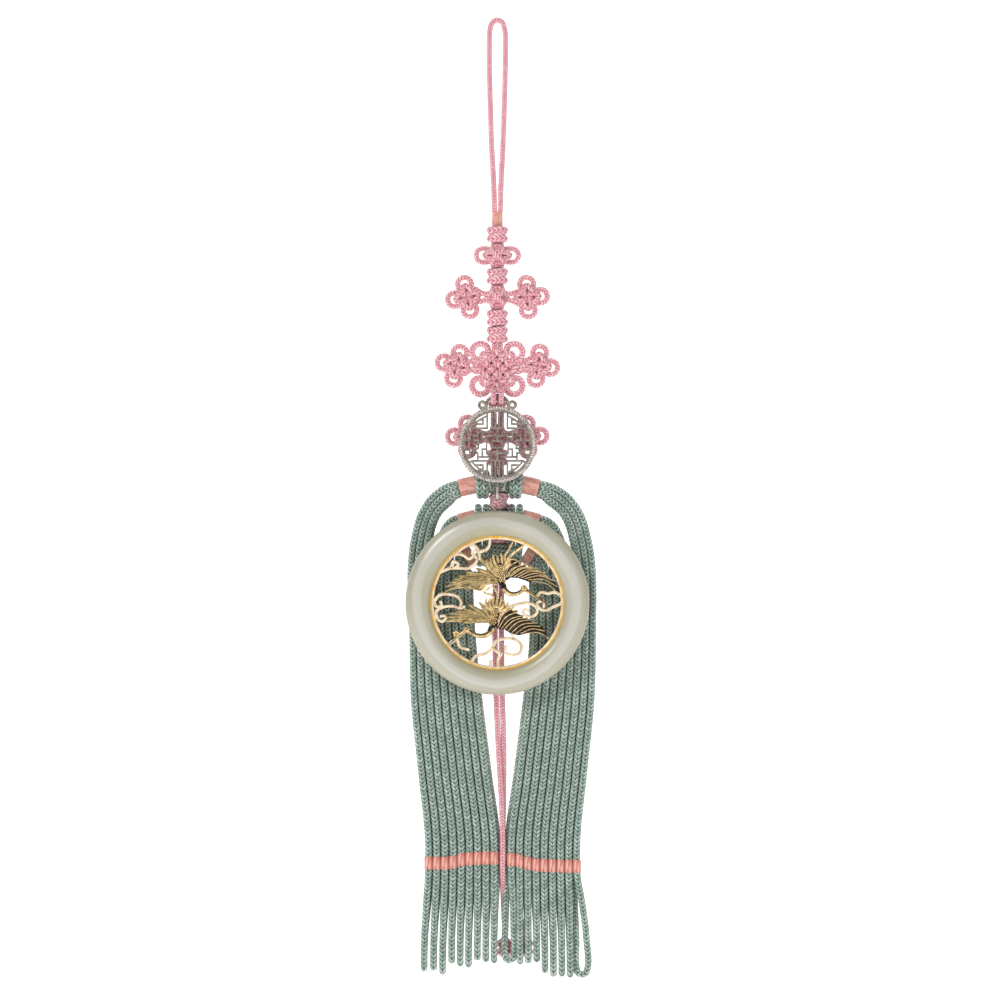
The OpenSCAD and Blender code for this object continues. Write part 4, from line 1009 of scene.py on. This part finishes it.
def make_bands(tier, side):
    """A band round the front and rear cord of each strand pair."""
    half = STRAND_PITCH / 2
    outline = [(BAND_R * math.cos(a) - side * (REAR_ASIDE * BAND_PITCH if a < math.pi else 0),
                (-half if a >= math.pi else half) + BAND_R * math.sin(a))
               for a in np.linspace(0, FULL_TURN, 24, endpoint=False)]
    parts = Parts()
    for column in range(COLUMNS):
        k = from_outermost(tier, column)
        at = column_at(side, k, BAND_ROW) + (0, 0, BAND_SHIFT[side][k])
        rings = []
        for i in range(BAND_ROWS + 1):
            s = i / BAND_ROWS
            pinch = 1 + 0.012 * (i % 2) - 0.05 * (2 * s - 1) ** 8
            rings.append([(at[0] + x * pinch, at[1] + y * pinch, at[2] + (s - 0.5) * BAND_H)
                          for x, y in outline])
        sleeve(parts, rings, 0.22, 5)
    name = "%d_%s" % (tier, WORD[side])
    finish_piece(parts.make("loop_band_thread_" + name, CORAL), "root", "salmon_thread", "loop_bands_" + name)


CORE_CORDS = 8
CORE_R = 2.5


def make_head(tier):
    """A tassel head: cords wound across its middle, with two turns of cord at each end."""
    z = HEAD_Z[tier]
    parts = Parts()
    reach = COIL_D / 2 - GREEN_R + 0.15
    angle = np.linspace(0, FULL_TURN, 40, endpoint=False)
    for side in SIDES:
        for turn in (0, 1):
            x = HEAD_X + side * (HEAD_W / 2 - GREEN_R - 0.05 - turn * (2 * GREEN_R + 0.1))
            lean = (0.35 - 0.5 * turn) * side
            line = np.stack([x + lean * np.sin(angle), BACK_Y + reach * np.cos(angle),
                             z + reach * np.sin(angle)], 1)
            braided(parts, line, GREEN_R + 0.22, closed=True, toward=(1, 0, 0), sides=14, pitch=GREEN_PITCH)
    inner = HEAD_W / 2 - 4 * GREEN_R - 0.3 + 0.6
    for k in range(CORE_CORDS):
        a = FULL_TURN * (k + 0.5) / CORE_CORDS
        line = [(HEAD_X + x, BACK_Y + r * math.cos(a + twist), z + r * math.sin(a + twist))
                for x, r, twist in ((-inner, CORE_R, 0), (0, CORE_R + 0.15, 0.25), (inner, CORE_R, 0.5))]
        braided(parts, smooth_line(line), GREEN_R - 0.1, toward=(0, 1, 0.3), pitch=GREEN_PITCH)
    finish_piece(parts.make("head_cords_%d" % tier, GREEN), "root", "green_silk", "tassel_head_%d" % tier)


# Silver disc

DISC_LEAN = math.radians(4)
DISC_R, ROPE_D = 14.4, 1.4
# Half the thickness of the bail's wire, and how far the bail stands above the disc
BAIL_R, BAIL_H = 0.6, 4.7
ROPE_TWISTS, ROPE_SWING, ROPE_WIRE = 41, 0.5, 0.78


def make_rope_rim():
    """Two wires twisted into a rope round the disc's rim."""
    disc_z = BAIL_R - BAIL_H - DISC_R
    place = Matrix.Translation(Vector(joint_at("disc_swing"))) @ Matrix.Rotation(-DISC_LEAN, 4, "X")
    parts = Parts()
    a = np.linspace(0, FULL_TURN, ROPE_TWISTS * 14, endpoint=False)
    for k in (0, 1):
        phase = ROPE_TWISTS * a + k * math.pi
        r = DISC_R - ROPE_D / 2 + ROPE_SWING * np.cos(phase)
        line = np.stack([r * np.cos(a), ROPE_SWING * np.sin(phase), disc_z + r * np.sin(a)], 1)
        rod(parts, move(line, place), ROPE_WIRE, closed=True)
    finish_piece(parts.make("rope_rim", WIRE_SILVER), "disc", "silver")


EDGE_BEVEL = 0.13


def make_disc():
    """The disc, its edges bevelled soft and coloured in the brighter silver."""
    shape = bmesh.new()
    shape.from_mesh(frame["nodes"]["silver_disc"].data)
    bmesh.ops.remove_doubles(shape, verts=shape.verts, dist=0.001 * MM)
    bmesh.ops.dissolve_limit(shape, angle_limit=math.radians(1), verts=shape.verts, edges=shape.edges)
    mesh = bpy.data.meshes.new("disc_silver")
    shape.to_mesh(mesh)
    shape.free()
    for mat in (SILVER, WIRE_SILVER):
        mesh.materials.append(mat)
    mesh.polygons.foreach_set("material_index", [0] * len(mesh.polygons))
    obj = add_to_scene("disc_silver", mesh)
    edge = obj.modifiers.new("worn_edges", "BEVEL")
    edge.width, edge.segments = EDGE_BEVEL * MM, 1
    edge.limit_method, edge.angle_limit = "ANGLE", math.radians(50)
    edge.material = 1
    finish_piece(obj, "disc", "silver", "silver_disc")


# Jade ring

JADE_R, JADE_IN, JADE_T = 34.3, 25.0, 7.0
# The section of the ring: shares of its width from the inner edge, and of half its thickness
JADE_SECTION = [
    (0, 0.4), (0.05, 0.62), (0.16, 0.84), (0.32, 0.97), (0.5, 1), (0.68, 0.93), (0.83, 0.74), (0.94, 0.46),
    (1, 0.16),
]


def ring_matrix():
    """Lays a form turned about Z round the middle of the jade ring, facing front."""
    return Matrix.Translation(Vector(node_box("jade_ring")[2])) @ Matrix.Rotation(math.pi / 2, 4, "X")


def make_jade_ring():
    front = [(JADE_IN + s * (JADE_R - JADE_IN), h * JADE_T / 2, 0) for s, h in JADE_SECTION]
    profile = smooth_line(front + [(r, -h, 0) for r, h, _ in front[::-1]], closed=True, per=5)[:, :2]
    profile[:, 0] = np.minimum(profile[:, 0], JADE_R)
    parts = Parts()
    lathe(parts, profile, 160, ring_matrix())
    finish_piece(parts.make("jade_ring_stone", JADE), "pendant", "jade", "jade_ring")


# Crane openwork, drawn in shares of its radius from the middle of the jade ring

# The casting's tones, and each one's place among its materials
CAST_TONES = (GOLD, DARK_FEATHER, OLIVE_FEATHER, BEZEL_GOLD, HIGHLIT_GOLD)
GILT, DARK, OLIVE, DEEP, HIGHLIT = range(len(CAST_TONES))
CAST_R, CAST_T, CAST_RIM = 24.85, 1.2, 1.2
CLOUDS = [
    [(-0.86, 0.46), (-0.7, 0.52), (-0.55, 0.52), (-0.42, 0.52), (-0.32, 0.6), (-0.3, 0.66)],
    [(-0.69, 0.52), (-0.66, 0.62), (-0.58, 0.57), (-0.62, 0.53)],
    [(-0.64, 0.73), (-0.52, 0.72), (-0.42, 0.66), (-0.34, 0.7), (-0.3, 0.66)],
    [(-0.34, 0.7), (-0.38, 0.76), (-0.32, 0.77)],
    [(-0.44, 0.88), (-0.3, 0.82), (-0.27, 0.72), (-0.26, 0.66)],
    [(-0.27, 0.76), (-0.14, 0.82), (-0.1, 0.98)],
    [(-0.95, 0.02), (-0.86, 0.12), (-0.72, 0.13), (-0.61, 0.1), (-0.54, 0), (-0.56, -0.07)],
    [(-0.95, 0.02), (-0.92, -0.05), (-0.83, -0.04), (-0.85, 0.01)],
    [(-0.9, -0.24), (-0.92, -0.14), (-0.8, -0.06), (-0.66, -0.05), (-0.53, -0.08), (-0.5, -0.06)],
    [(-0.9, -0.24), (-0.83, -0.28), (-0.77, -0.23), (-0.8, -0.19), (-0.84, -0.2)],
    [(0.94, 0.12), (0.86, 0.16), (0.76, 0.14), (0.66, 0.16), (0.6, 0.1)],
    [(0.94, -0.02), (0.84, -0.06), (0.74, -0.11), (0.64, -0.09), (0.6, 0), (0.7, 0.02), (0.7, -0.05)],
    [(0.94, 0.12), (0.98, 0.05), (0.94, -0.02)],
    [(0.16, -0.06), (0.28, -0.03), (0.4, 0), (0.5, -0.01), (0.58, -0.06), (0.6, -0.14), (0.54, -0.2),
     (0.46, -0.2), (0.39, -0.16), (0.4, -0.1), (0.46, -0.11)],
    [(-0.4, -0.9), (-0.32, -0.8), (-0.18, -0.76), (-0.08, -0.68), (-0.02, -0.58), (0.1, -0.54),
     (0.24, -0.54), (0.36, -0.64), (0.34, -0.74), (0.22, -0.78), (0.12, -0.74), (0.13, -0.66)],
    [(0.24, -0.54), (0.22, -0.48)],
    [(0.06, -0.76), (-0.02, -0.72), (-0.08, -0.68)],
    [(0.07, -0.74), (0.01, -0.86), (0.02, -0.98)],
    [(0, -0.98), (-0.1, -0.96), (-0.1, -0.88)],
    [(-0.72, -0.62), (-0.6, -0.52), (-0.5, -0.44)],
    [(-0.6, -0.54), (-0.56, -0.66), (-0.44, -0.7)],
]
WINGS = {
    "upper_left": ((0.04, 0.32), [
        (0.02, 0.58), (-0.26, 0.66), (-0.16, 0.5), (-0.3, 0.48), (-0.26, 0.45), (-0.47, 0.46),
        (-0.36, 0.39), (-0.59, 0.4), (-0.46, 0.33), (-0.72, 0.3), (-0.5, 0.27), (-0.78, 0.17),
        (-0.62, 0.22), (-0.42, 0.23), (-0.24, 0.19), (-0.14, 0.28), (0, 0.28)]),
    "upper_right": ((0.12, 0.34), [
        (0.1, 0.54), (0.14, 0.61), (0.2, 0.65), (0.31, 0.63), (0.35, 0.57), (0.45, 0.59), (0.42, 0.54),
        (0.59, 0.53), (0.55, 0.49), (0.71, 0.46), (0.68, 0.42), (0.85, 0.33), (0.91, 0.23), (0.95, 0.07),
        (0.88, 0.2), (0.77, 0.33), (0.66, 0.37), (0.58, 0.36), (0.5, 0.3), (0.43, 0.33), (0.31, 0.37),
        (0.2, 0.38), (0.15, 0.34)]),
    "lower_left": ((-0.06, -0.32), [
        (-0.05, -0.02), (-0.14, 0.02), (-0.12, -0.08), (-0.28, 0.02), (-0.22, -0.1),
        (-0.44, -0.02), (-0.34, -0.12), (-0.52, -0.08), (-0.42, -0.16), (-0.72, -0.16), (-0.52, -0.22),
        (-0.78, -0.28), (-0.56, -0.28), (-0.4, -0.3), (-0.3, -0.26), (-0.14, -0.25), (-0.1, -0.36)]),
    "lower_right": ((-0.02, -0.34), [
        (0.05, -0.19), (0.16, -0.09), (0.25, -0.06), (0.22, -0.11), (0.31, -0.12), (0.29, -0.16),
        (0.4, -0.19), (0.38, -0.22), (0.52, -0.25), (0.5, -0.28), (0.66, -0.34), (0.72, -0.42),
        (0.8, -0.55), (0.69, -0.48), (0.58, -0.43), (0.43, -0.46), (0.33, -0.49), (0.2, -0.46),
        (0.1, -0.4), (-0.01, -0.39)]),
}
# Where the gold lines of the right wings start, along the wing's lower edge
QUILL_FEET = {
    "upper_right": [(0.11, 0.5), (0.12, 0.38), (0.2, 0.4), (0.36, 0.38), (0.52, 0.33)],
    "lower_right": [(0.02, -0.25), (0.0, -0.37), (0.1, -0.4), (0.24, -0.46), (0.42, -0.46)],
}
# Tips of the long feathers of the left wings, and of the gold lines on the right wings
QUILLS = {
    "upper_left": [(-0.02, 0.6), (-0.14, 0.63), (-0.26, 0.66), (-0.33, 0.52), (-0.47, 0.46), (-0.59, 0.4),
                   (-0.66, 0.35), (-0.72, 0.3), (-0.78, 0.24), (-0.78, 0.17), (-0.5, 0.2), (-0.3, 0.2)],
    "lower_left": [(-0.05, 0.0), (-0.14, 0.02), (-0.28, 0.02), (-0.44, -0.02), (-0.52, -0.08), (-0.62, -0.12),
                   (-0.72, -0.16), (-0.78, -0.22), (-0.78, -0.28), (-0.5, -0.3), (-0.36, -0.29)],
    "upper_right": [(0.13, 0.58), (0.2, 0.64), (0.3, 0.62), (0.37, 0.57), (0.44, 0.58), (0.52, 0.54),
                    (0.59, 0.52), (0.65, 0.48), (0.71, 0.45), (0.78, 0.39), (0.85, 0.33), (0.9, 0.24),
                    (0.94, 0.1)],
    "lower_right": [(0.1, -0.14), (0.17, -0.09), (0.24, -0.07), (0.31, -0.13), (0.39, -0.19), (0.46, -0.22),
                    (0.52, -0.25), (0.59, -0.3), (0.65, -0.35), (0.71, -0.42), (0.78, -0.53)],
}
# Bodies under their scales, then the necks with the heads, then the bills
BODIES = [
    ([(0.04, 0.6), (0.05, 0.45), (0.07, 0.3), (0.1, 0.22)], 3.0, 2.4),
    ([(-0.02, -0.08), (-0.03, -0.2), (-0.07, -0.34), (-0.11, -0.43)], 2.8, 2.4),
]
NECKS = [
    ([(0.07, 0.32), (0.095, 0.23), (0.15, 0.16), (0.23, 0.13), (0.31, 0.145), (0.39, 0.2)], 2.4, 1.4),
    ([(-0.07, -0.37), (-0.11, -0.44), (-0.18, -0.485), (-0.27, -0.495), (-0.36, -0.465), (-0.45, -0.41)],
     2.4, 1.4),
]
BILLS = [
    ([(0.4, 0.22), (0.48, 0.16), (0.6, 0.08), (0.75, -0.02)], 1.7, 0.6),
    ([(-0.46, -0.41), (-0.52, -0.45), (-0.61, -0.52), (-0.71, -0.61)], 1.7, 0.6),
]
PLUMES = [
    ([(0.06, 0.62), (0.16, 0.78), (0.24, 0.92)], 1, 0.7),
    ([(0.1, 0.6), (0.22, 0.72), (0.4, 0.86)], 1.1, 0.7),
    ([(-0.1, 0.24), (-0.2, 0.16), (-0.06, 0.1), (-0.06, -0.04)], 0.8, 0.8),
    ([(-0.08, 0.26), (0, 0.14), (-0.02, 0)], 0.8, 0.8),
]
# Middle of each head, and how far to its side the eye sits
HEADS = [((0.4, 0.215), 0.01), ((-0.46, -0.405), -0.01)]
# Root, reach, and first and last angle of each tail's fan
TAILS = [((0.04, 0.47), 0.28, 62, 138), ((-0.03, -0.13), 0.25, 40, 122)]
TAIL_FEATHERS = 13
# Top, bottom and number of rows of the scales on each body
SCALES = [((0.04, 0.56), (0.08, 0.3), 10), ((-0.03, -0.1), (-0.08, -0.34), 9)]
BLOSSOM, BLOSSOM_R = (-0.62, -0.46), 0.03
LEAF = ((0, 0.3), (0.25, 0.9), (0.7, 1), (0.92, 0.6), (1, 0.12))
WING_FRONT = CAST_T * 0.4


def cast_points(flat, forward=0.0):
    """Points of the openwork drawing in space; forward is how far in front of the plate's middle."""
    centre = node_box("jade_ring")[2]
    flat = np.asarray(flat, float) * CAST_R
    return np.stack([centre[0] + flat[:, 0], np.full(len(flat), centre[1] - forward), centre[2] + flat[:, 1]], 1)


def cast_band(parts, flat, w0, w1, depth, forward, slot, sides=8, leaf=False, square=0.6):
    """A band from width w0 to w1 along drawn points, or a leaf that is w0 at its widest."""
    line = smooth_line(cast_points(flat, forward), per=6)
    rod(parts, line, w0, depth, sides=sides, step=0.45, slot=slot, square=square,
        taper=LEAF if leaf else ((0, 1), (1, w1 / w0)))


def plate(parts, flat, thickness, slot):
    """A flat piece of the casting with a slightly smaller front, from its outline."""
    outline = cast_points(flat)
    n = len(outline)
    after = np.roll(outline, -1, 0)
    if np.sum(outline[:, 0] * after[:, 2] - after[:, 0] * outline[:, 2]) < 0:
        outline = outline[::-1]
    before, after = np.roll(outline, 1, 0), np.roll(outline, -1, 0)
    edge = unit(unit(outline - before) + unit(after - outline))
    inward = np.stack([-edge[:, 2], 0 * edge[:, 0], edge[:, 0]], 1)
    front = outline + inward * 0.18 - [0, thickness / 2, 0]
    shoulder = outline - [0, thickness / 2 - 0.3, 0]
    rear = outline + [0, thickness / 2, 0]
    faces = []
    for t in tessellate_polygon([[Vector(v) for v in outline[:, [0, 2, 1]] * (1, 1, 0)]]):
        a, b, c = (outline[k] for k in t)
        if (b[0] - a[0]) * (c[2] - a[2]) - (b[2] - a[2]) * (c[0] - a[0]) < 0:
            t = t[::-1]
        faces += [tuple(t), tuple(k + 2 * n for k in t[::-1])]
    for i in range(n):
        j = (i + 1) % n
        faces += [(j, i, i + n, j + n), (j + n, i + n, i + 2 * n, j + 2 * n)]
    parts.add(np.concatenate([front, shoulder, rear]), faces, np.zeros((sum(map(len, faces)), 2)), slot)


def dome(parts, at, r, lift, forward, slot, sides=9):
    """A small round scale or bead."""
    rows = [(1, 0), (0.86, 0.5), (0.5, 0.86), (0.02, 1)]
    x, y, z = cast_points([at], forward)[0]
    verts = [(x + r * k * math.cos(a), y - lift * h, z + r * k * math.sin(a))
             for k, h in rows for a in FULL_TURN * np.arange(sides) / sides]
    quads, _, _ = grid(len(rows), sides, False)
    parts.add(verts, quads.tolist(), np.zeros((4 * len(quads), 2)), slot)


def cast_rims(parts):
    """The rim with its soft front, in the gilt painted paler as a painted highlight, and the deep yellow setting
    between it and the stone.
    """
    inner, half = CAST_R - CAST_RIM, CAST_T / 2
    rim = [(inner, -half), (inner - 0.02, half * 0.5), (inner + 0.25, half + 0.18), (inner + 0.6, half + 0.26),
           (CAST_R - 0.12, half + 0.1), (CAST_R, half * 0.3), (CAST_R, -half)]
    setting = [(CAST_R - 0.25, half), (CAST_R - 0.1, half + 0.55), (CAST_R + 0.12, half + 0.75),
               (CAST_R + 0.2, half + 0.3), (CAST_R + 0.05, -half), (CAST_R - 0.3, -half)]
    rear = [(r, -h) for r, h in setting[::-1]]
    for profile, slot in ((rim, HIGHLIT), (setting, DEEP), (rear, DEEP)):
        lathe(parts, profile, 140, ring_matrix(), slot=slot)


def cast_wing(parts, name):
    """A wing: its plate, the feathers of a left one or the gold lines of a right one, and its edge."""
    dark = name.endswith("right")
    root, outline = WINGS[name]
    tips = np.array(QUILLS[name])
    plate(parts, [root] + outline, CAST_T * 0.8, DARK if dark else OLIVE)
    for i, tip in enumerate(tips):
        if dark:
            feet = np.array(QUILL_FEET[name])
            place = i / (len(tips) - 1) * (len(feet) - 1)
            foot = np.array([np.interp(place, range(len(feet)), feet[:, k]) for k in (0, 1)])
            arch = 0.14
        else:
            # the lower feathers arch most
            foot, arch = np.array(root), 0.04 + 0.07 * i / len(tips)
        way = tip - foot
        lift = np.array([-way[1], way[0]]) * arch
        lift = lift if lift[1] > 0 else -lift
        middle = (foot + tip) / 2 + lift
        if dark:
            cast_band(parts, [foot, middle, tip], 0.32, 0.42, 0.5, WING_FRONT + 0.05, GILT, sides=6)
        else:
            feather = [foot + way * 0.18 + lift * 0.5, middle, tip]
            cast_band(parts, feather, 1.5, 0.3, 0.9, WING_FRONT, OLIVE, leaf=True)
            cast_band(parts, feather, 0.3, 0.2, 0.3, WING_FRONT + 0.45, GILT, sides=5)
    cast_band(parts, outline[:6] if dark else outline[:-7:-1], 0.6, 0.4, 0.9, WING_FRONT, GILT, sides=6)


def cast_tail(parts, root, reach, first, last):
    """A fan of tail feathers, by turns a gold one in front and a shorter dark one behind."""
    base = np.array(root)
    for i in range(TAIL_FEATHERS):
        a = math.radians(first + (last - first) * i / (TAIL_FEATHERS - 1))
        out = np.array([math.cos(a), math.sin(a)])
        bow = np.array([-out[1], out[0]]) * 0.012 * (i - TAIL_FEATHERS // 2)
        wide, forward, tone, share = (1.0, 0.2, DARK, 0.82) if i % 2 else (1.15, 0.45, GILT, 1 - 0.05 * (i % 4))
        tip = reach * share
        cast_band(parts, [base, base + tip * 0.55 * out + bow, base + tip * out], wide, 0.3, 1.0, forward,
                  tone, leaf=True)


def cast_scales(parts, top, bottom, rows):
    """Rows of three scales down a body, each row half a scale aside from the last."""
    top, bottom = np.array(top), np.array(bottom)
    down = (bottom - top) / np.linalg.norm(bottom - top)
    across = np.array([-down[1], down[0]])
    for i in range(rows):
        for k in (-1, 0, 1):
            shift = 0.5 * (i % 2) - 0.25
            dome(parts, top + (bottom - top) * i / rows + across * (k + shift) * 0.034, 0.4, 0.4, 0.95, GILT,
                 sides=7)


def cast_neck_groove(parts, neck):
    """A dark groove inside the bend of a neck."""
    inside = smooth_line(neck, per=5)
    step = np.gradient(inside, axis=0)
    normal = np.stack([-step[:, 1], step[:, 0]], 1) / np.linalg.norm(step, axis=1)[:, None]
    normal *= np.sign(normal[len(normal) // 2, 1])
    cast_band(parts, inside + normal * 0.017, 0.55, 0.45, 0.5, 0.93, DARK, sides=6)


def make_openwork():
    parts = Parts()
    cast_rims(parts)
    # the clouds in the gilt painted paler, as a painted highlight
    for cloud in CLOUDS:
        cast_band(parts, cloud, 1.3, 1.05, CAST_T + 0.2, 0.05, HIGHLIT, sides=12, square=0.5)
        dome(parts, cloud[-1], 0.66, 0.35, CAST_T / 2, HIGHLIT)
    for name in WINGS:
        cast_wing(parts, name)
    for lines, tone in ((BODIES, DARK), (NECKS, GILT), (BILLS, GILT)):
        for line, w0, w1 in lines:
            cast_band(parts, line, w0, w1, 1.7, 0.25, tone, sides=12, square=1.0)
    for neck, _, _ in NECKS:
        cast_neck_groove(parts, neck)
    for bill, _, _ in BILLS:
        cast_band(parts, bill, 0.4, 0.3, 0.4, 1.0, DARK, sides=6)
    for plume, w0, w1 in PLUMES:
        cast_band(parts, plume, w0, w1, 1.0, 0.1, GILT)
    for tail in TAILS:
        cast_tail(parts, *tail)
    for scales in SCALES:
        cast_scales(parts, *scales)
    for (x, z), aside in HEADS:
        dome(parts, (x, z), 1.3, 0.8, 0.7, GILT, sides=14)
        dome(parts, (x + aside, z + 0.005), 0.34, 0.3, 1.45, DARK)
    for a in np.radians(90 + 72 * np.arange(5)):
        petal = (BLOSSOM[0] + BLOSSOM_R * math.cos(a), BLOSSOM[1] + BLOSSOM_R * math.sin(a))
        dome(parts, petal, 0.6, 0.5, 0.4, GILT)
    # the bead at the top of the rim
    dome(parts, (-0.02, 0.985), 0.75, 0.5, 0.85, DEEP, sides=12)
    finish_piece(parts.make("crane_casting", *CAST_TONES), "pendant", "gold", "crane_openwork")


# Stage and light, in metres

PAPER_HALF, PAPER_TOP, PAPER_FLOOR, PAPER_BACK, PAPER_CURVE = 3.0, 2.4, -0.46, 0.9, 0.35
NORIGAE_MIDDLE = Vector((0, 0, -0.18))


def make_stage():
    mat, n, surface = new_material("pale_paper")
    for key, value in (("Base Color", (0.95, 0.95, 0.95, 1)), ("Roughness", 0.9),
                       ("Emission Color", (1, 1, 1, 1)), ("Emission Strength", 0.45)):
        surface[key].default_value = value
    # clear from behind, so the norigae can be seen from its rear side too
    n.link(n.math("SUBTRACT", 1.0, n.put("ShaderNodeNewGeometry").outputs["Backfacing"]), surface["Alpha"])
    profile = [(-PAPER_HALF, PAPER_FLOOR), (PAPER_BACK - PAPER_CURVE, PAPER_FLOOR)]
    profile += [(PAPER_BACK - PAPER_CURVE + PAPER_CURVE * math.sin(a),
                 PAPER_FLOOR + PAPER_CURVE - PAPER_CURVE * math.cos(a))
                for a in np.linspace(0, math.pi / 2, 14)[1:]]
    profile.append((PAPER_BACK, PAPER_TOP))
    mesh = bpy.data.meshes.new("paper_sweep")
    mesh.from_pydata([(x, y, z) for y, z in profile for x in (-PAPER_HALF, PAPER_HALF)], [],
                     [(2 * i, 2 * i + 1, 2 * i + 3, 2 * i + 2) for i in range(len(profile) - 1)])
    mesh.materials.append(mat)
    add_to_scene("paper_sweep", mesh)


def square_lamp(name, place, size, power):
    """A soft lamp that looks at the norigae's middle."""
    data = bpy.data.lights.new(name, "AREA")
    data.shape, data.size, data.energy = "SQUARE", size, power
    lamp = add_to_scene(name, data)
    lamp.location = place
    lamp.rotation_euler = (NORIGAE_MIDDLE - Vector(place)).to_track_quat("-Z", "Y").to_euler()


def make_lights():
    square_lamp("key_light", (-0.9, -1.2, 0.75), 0.5, 12.5)
    square_lamp("fill_light", (1.2, -1.2, 0.1), 0.9, 4)
    square_lamp("top_light", (0.1, 0.3, 1.2), 0.8, 5)
    world = bpy.data.worlds.new("studio")
    world.use_nodes = True
    glow = world.node_tree.nodes["Background"].inputs
    glow["Color"].default_value, glow["Strength"].default_value = (1, 1, 1, 1), 0.3
    bpy.context.scene.world = world
    bpy.context.scene.view_settings.view_transform = "Standard"


# Making

# How far the left and the right clover beside each knot lean
CLOVER_TURNS = {"wing_clover_upper": (12, 4), "woven_clover": (-14, -8), "wing_clover_lower": (0, 4)}

place_camera()
for side in ("left", "right"):
    knot = double_knot("end_knot_silk_" + side, "end_knot_" + side, tilt=0.22)
    free_cord("centre_cord_silk_" + side, CENTRE_ROUTES[side], "centre_cord_" + side)
free_cord("hanging_loop_silk", LOOP_ROUTE, "hanging_loop")
make_binding()
for i in range(1, 8):
    double_knot("round_knot_silk_%d" % i, "round_knot_%d" % i, stem=i == 5)
crossed_knot("clover_knot_silk", "clover_knot", ears=True)
crossed_knot("wing_knot_silk_upper", "wing_knot_upper")
crossed_knot("wing_knot_silk_lower", "wing_knot_lower")
for stem, turns in CLOVER_TURNS.items():
    for side, turn in zip(SIDES, turns):
        node = "%s_%s" % (stem, WORD[side])
        side_clover(node + "_silk", node, side, turn)
make_woven_knot()
make_bail_cords()
for tier in TIERS:
    make_head(tier)
    for side in SIDES:
        make_strands(tier, side)
        make_wrap(tier, side)
        make_bands(tier, side)
make_disc()
make_rope_rim()
make_jade_ring()
make_openwork()
for node, mat in (("hanger_link", WIRE_SILVER), ("jade_eye", SILVER)):
    obj = frame["nodes"][node]
    for material_slot in obj.material_slots:
        material_slot.material = mat
    if not obj.material_slots:
        obj.data.materials.append(mat)
make_stage()
make_lights()
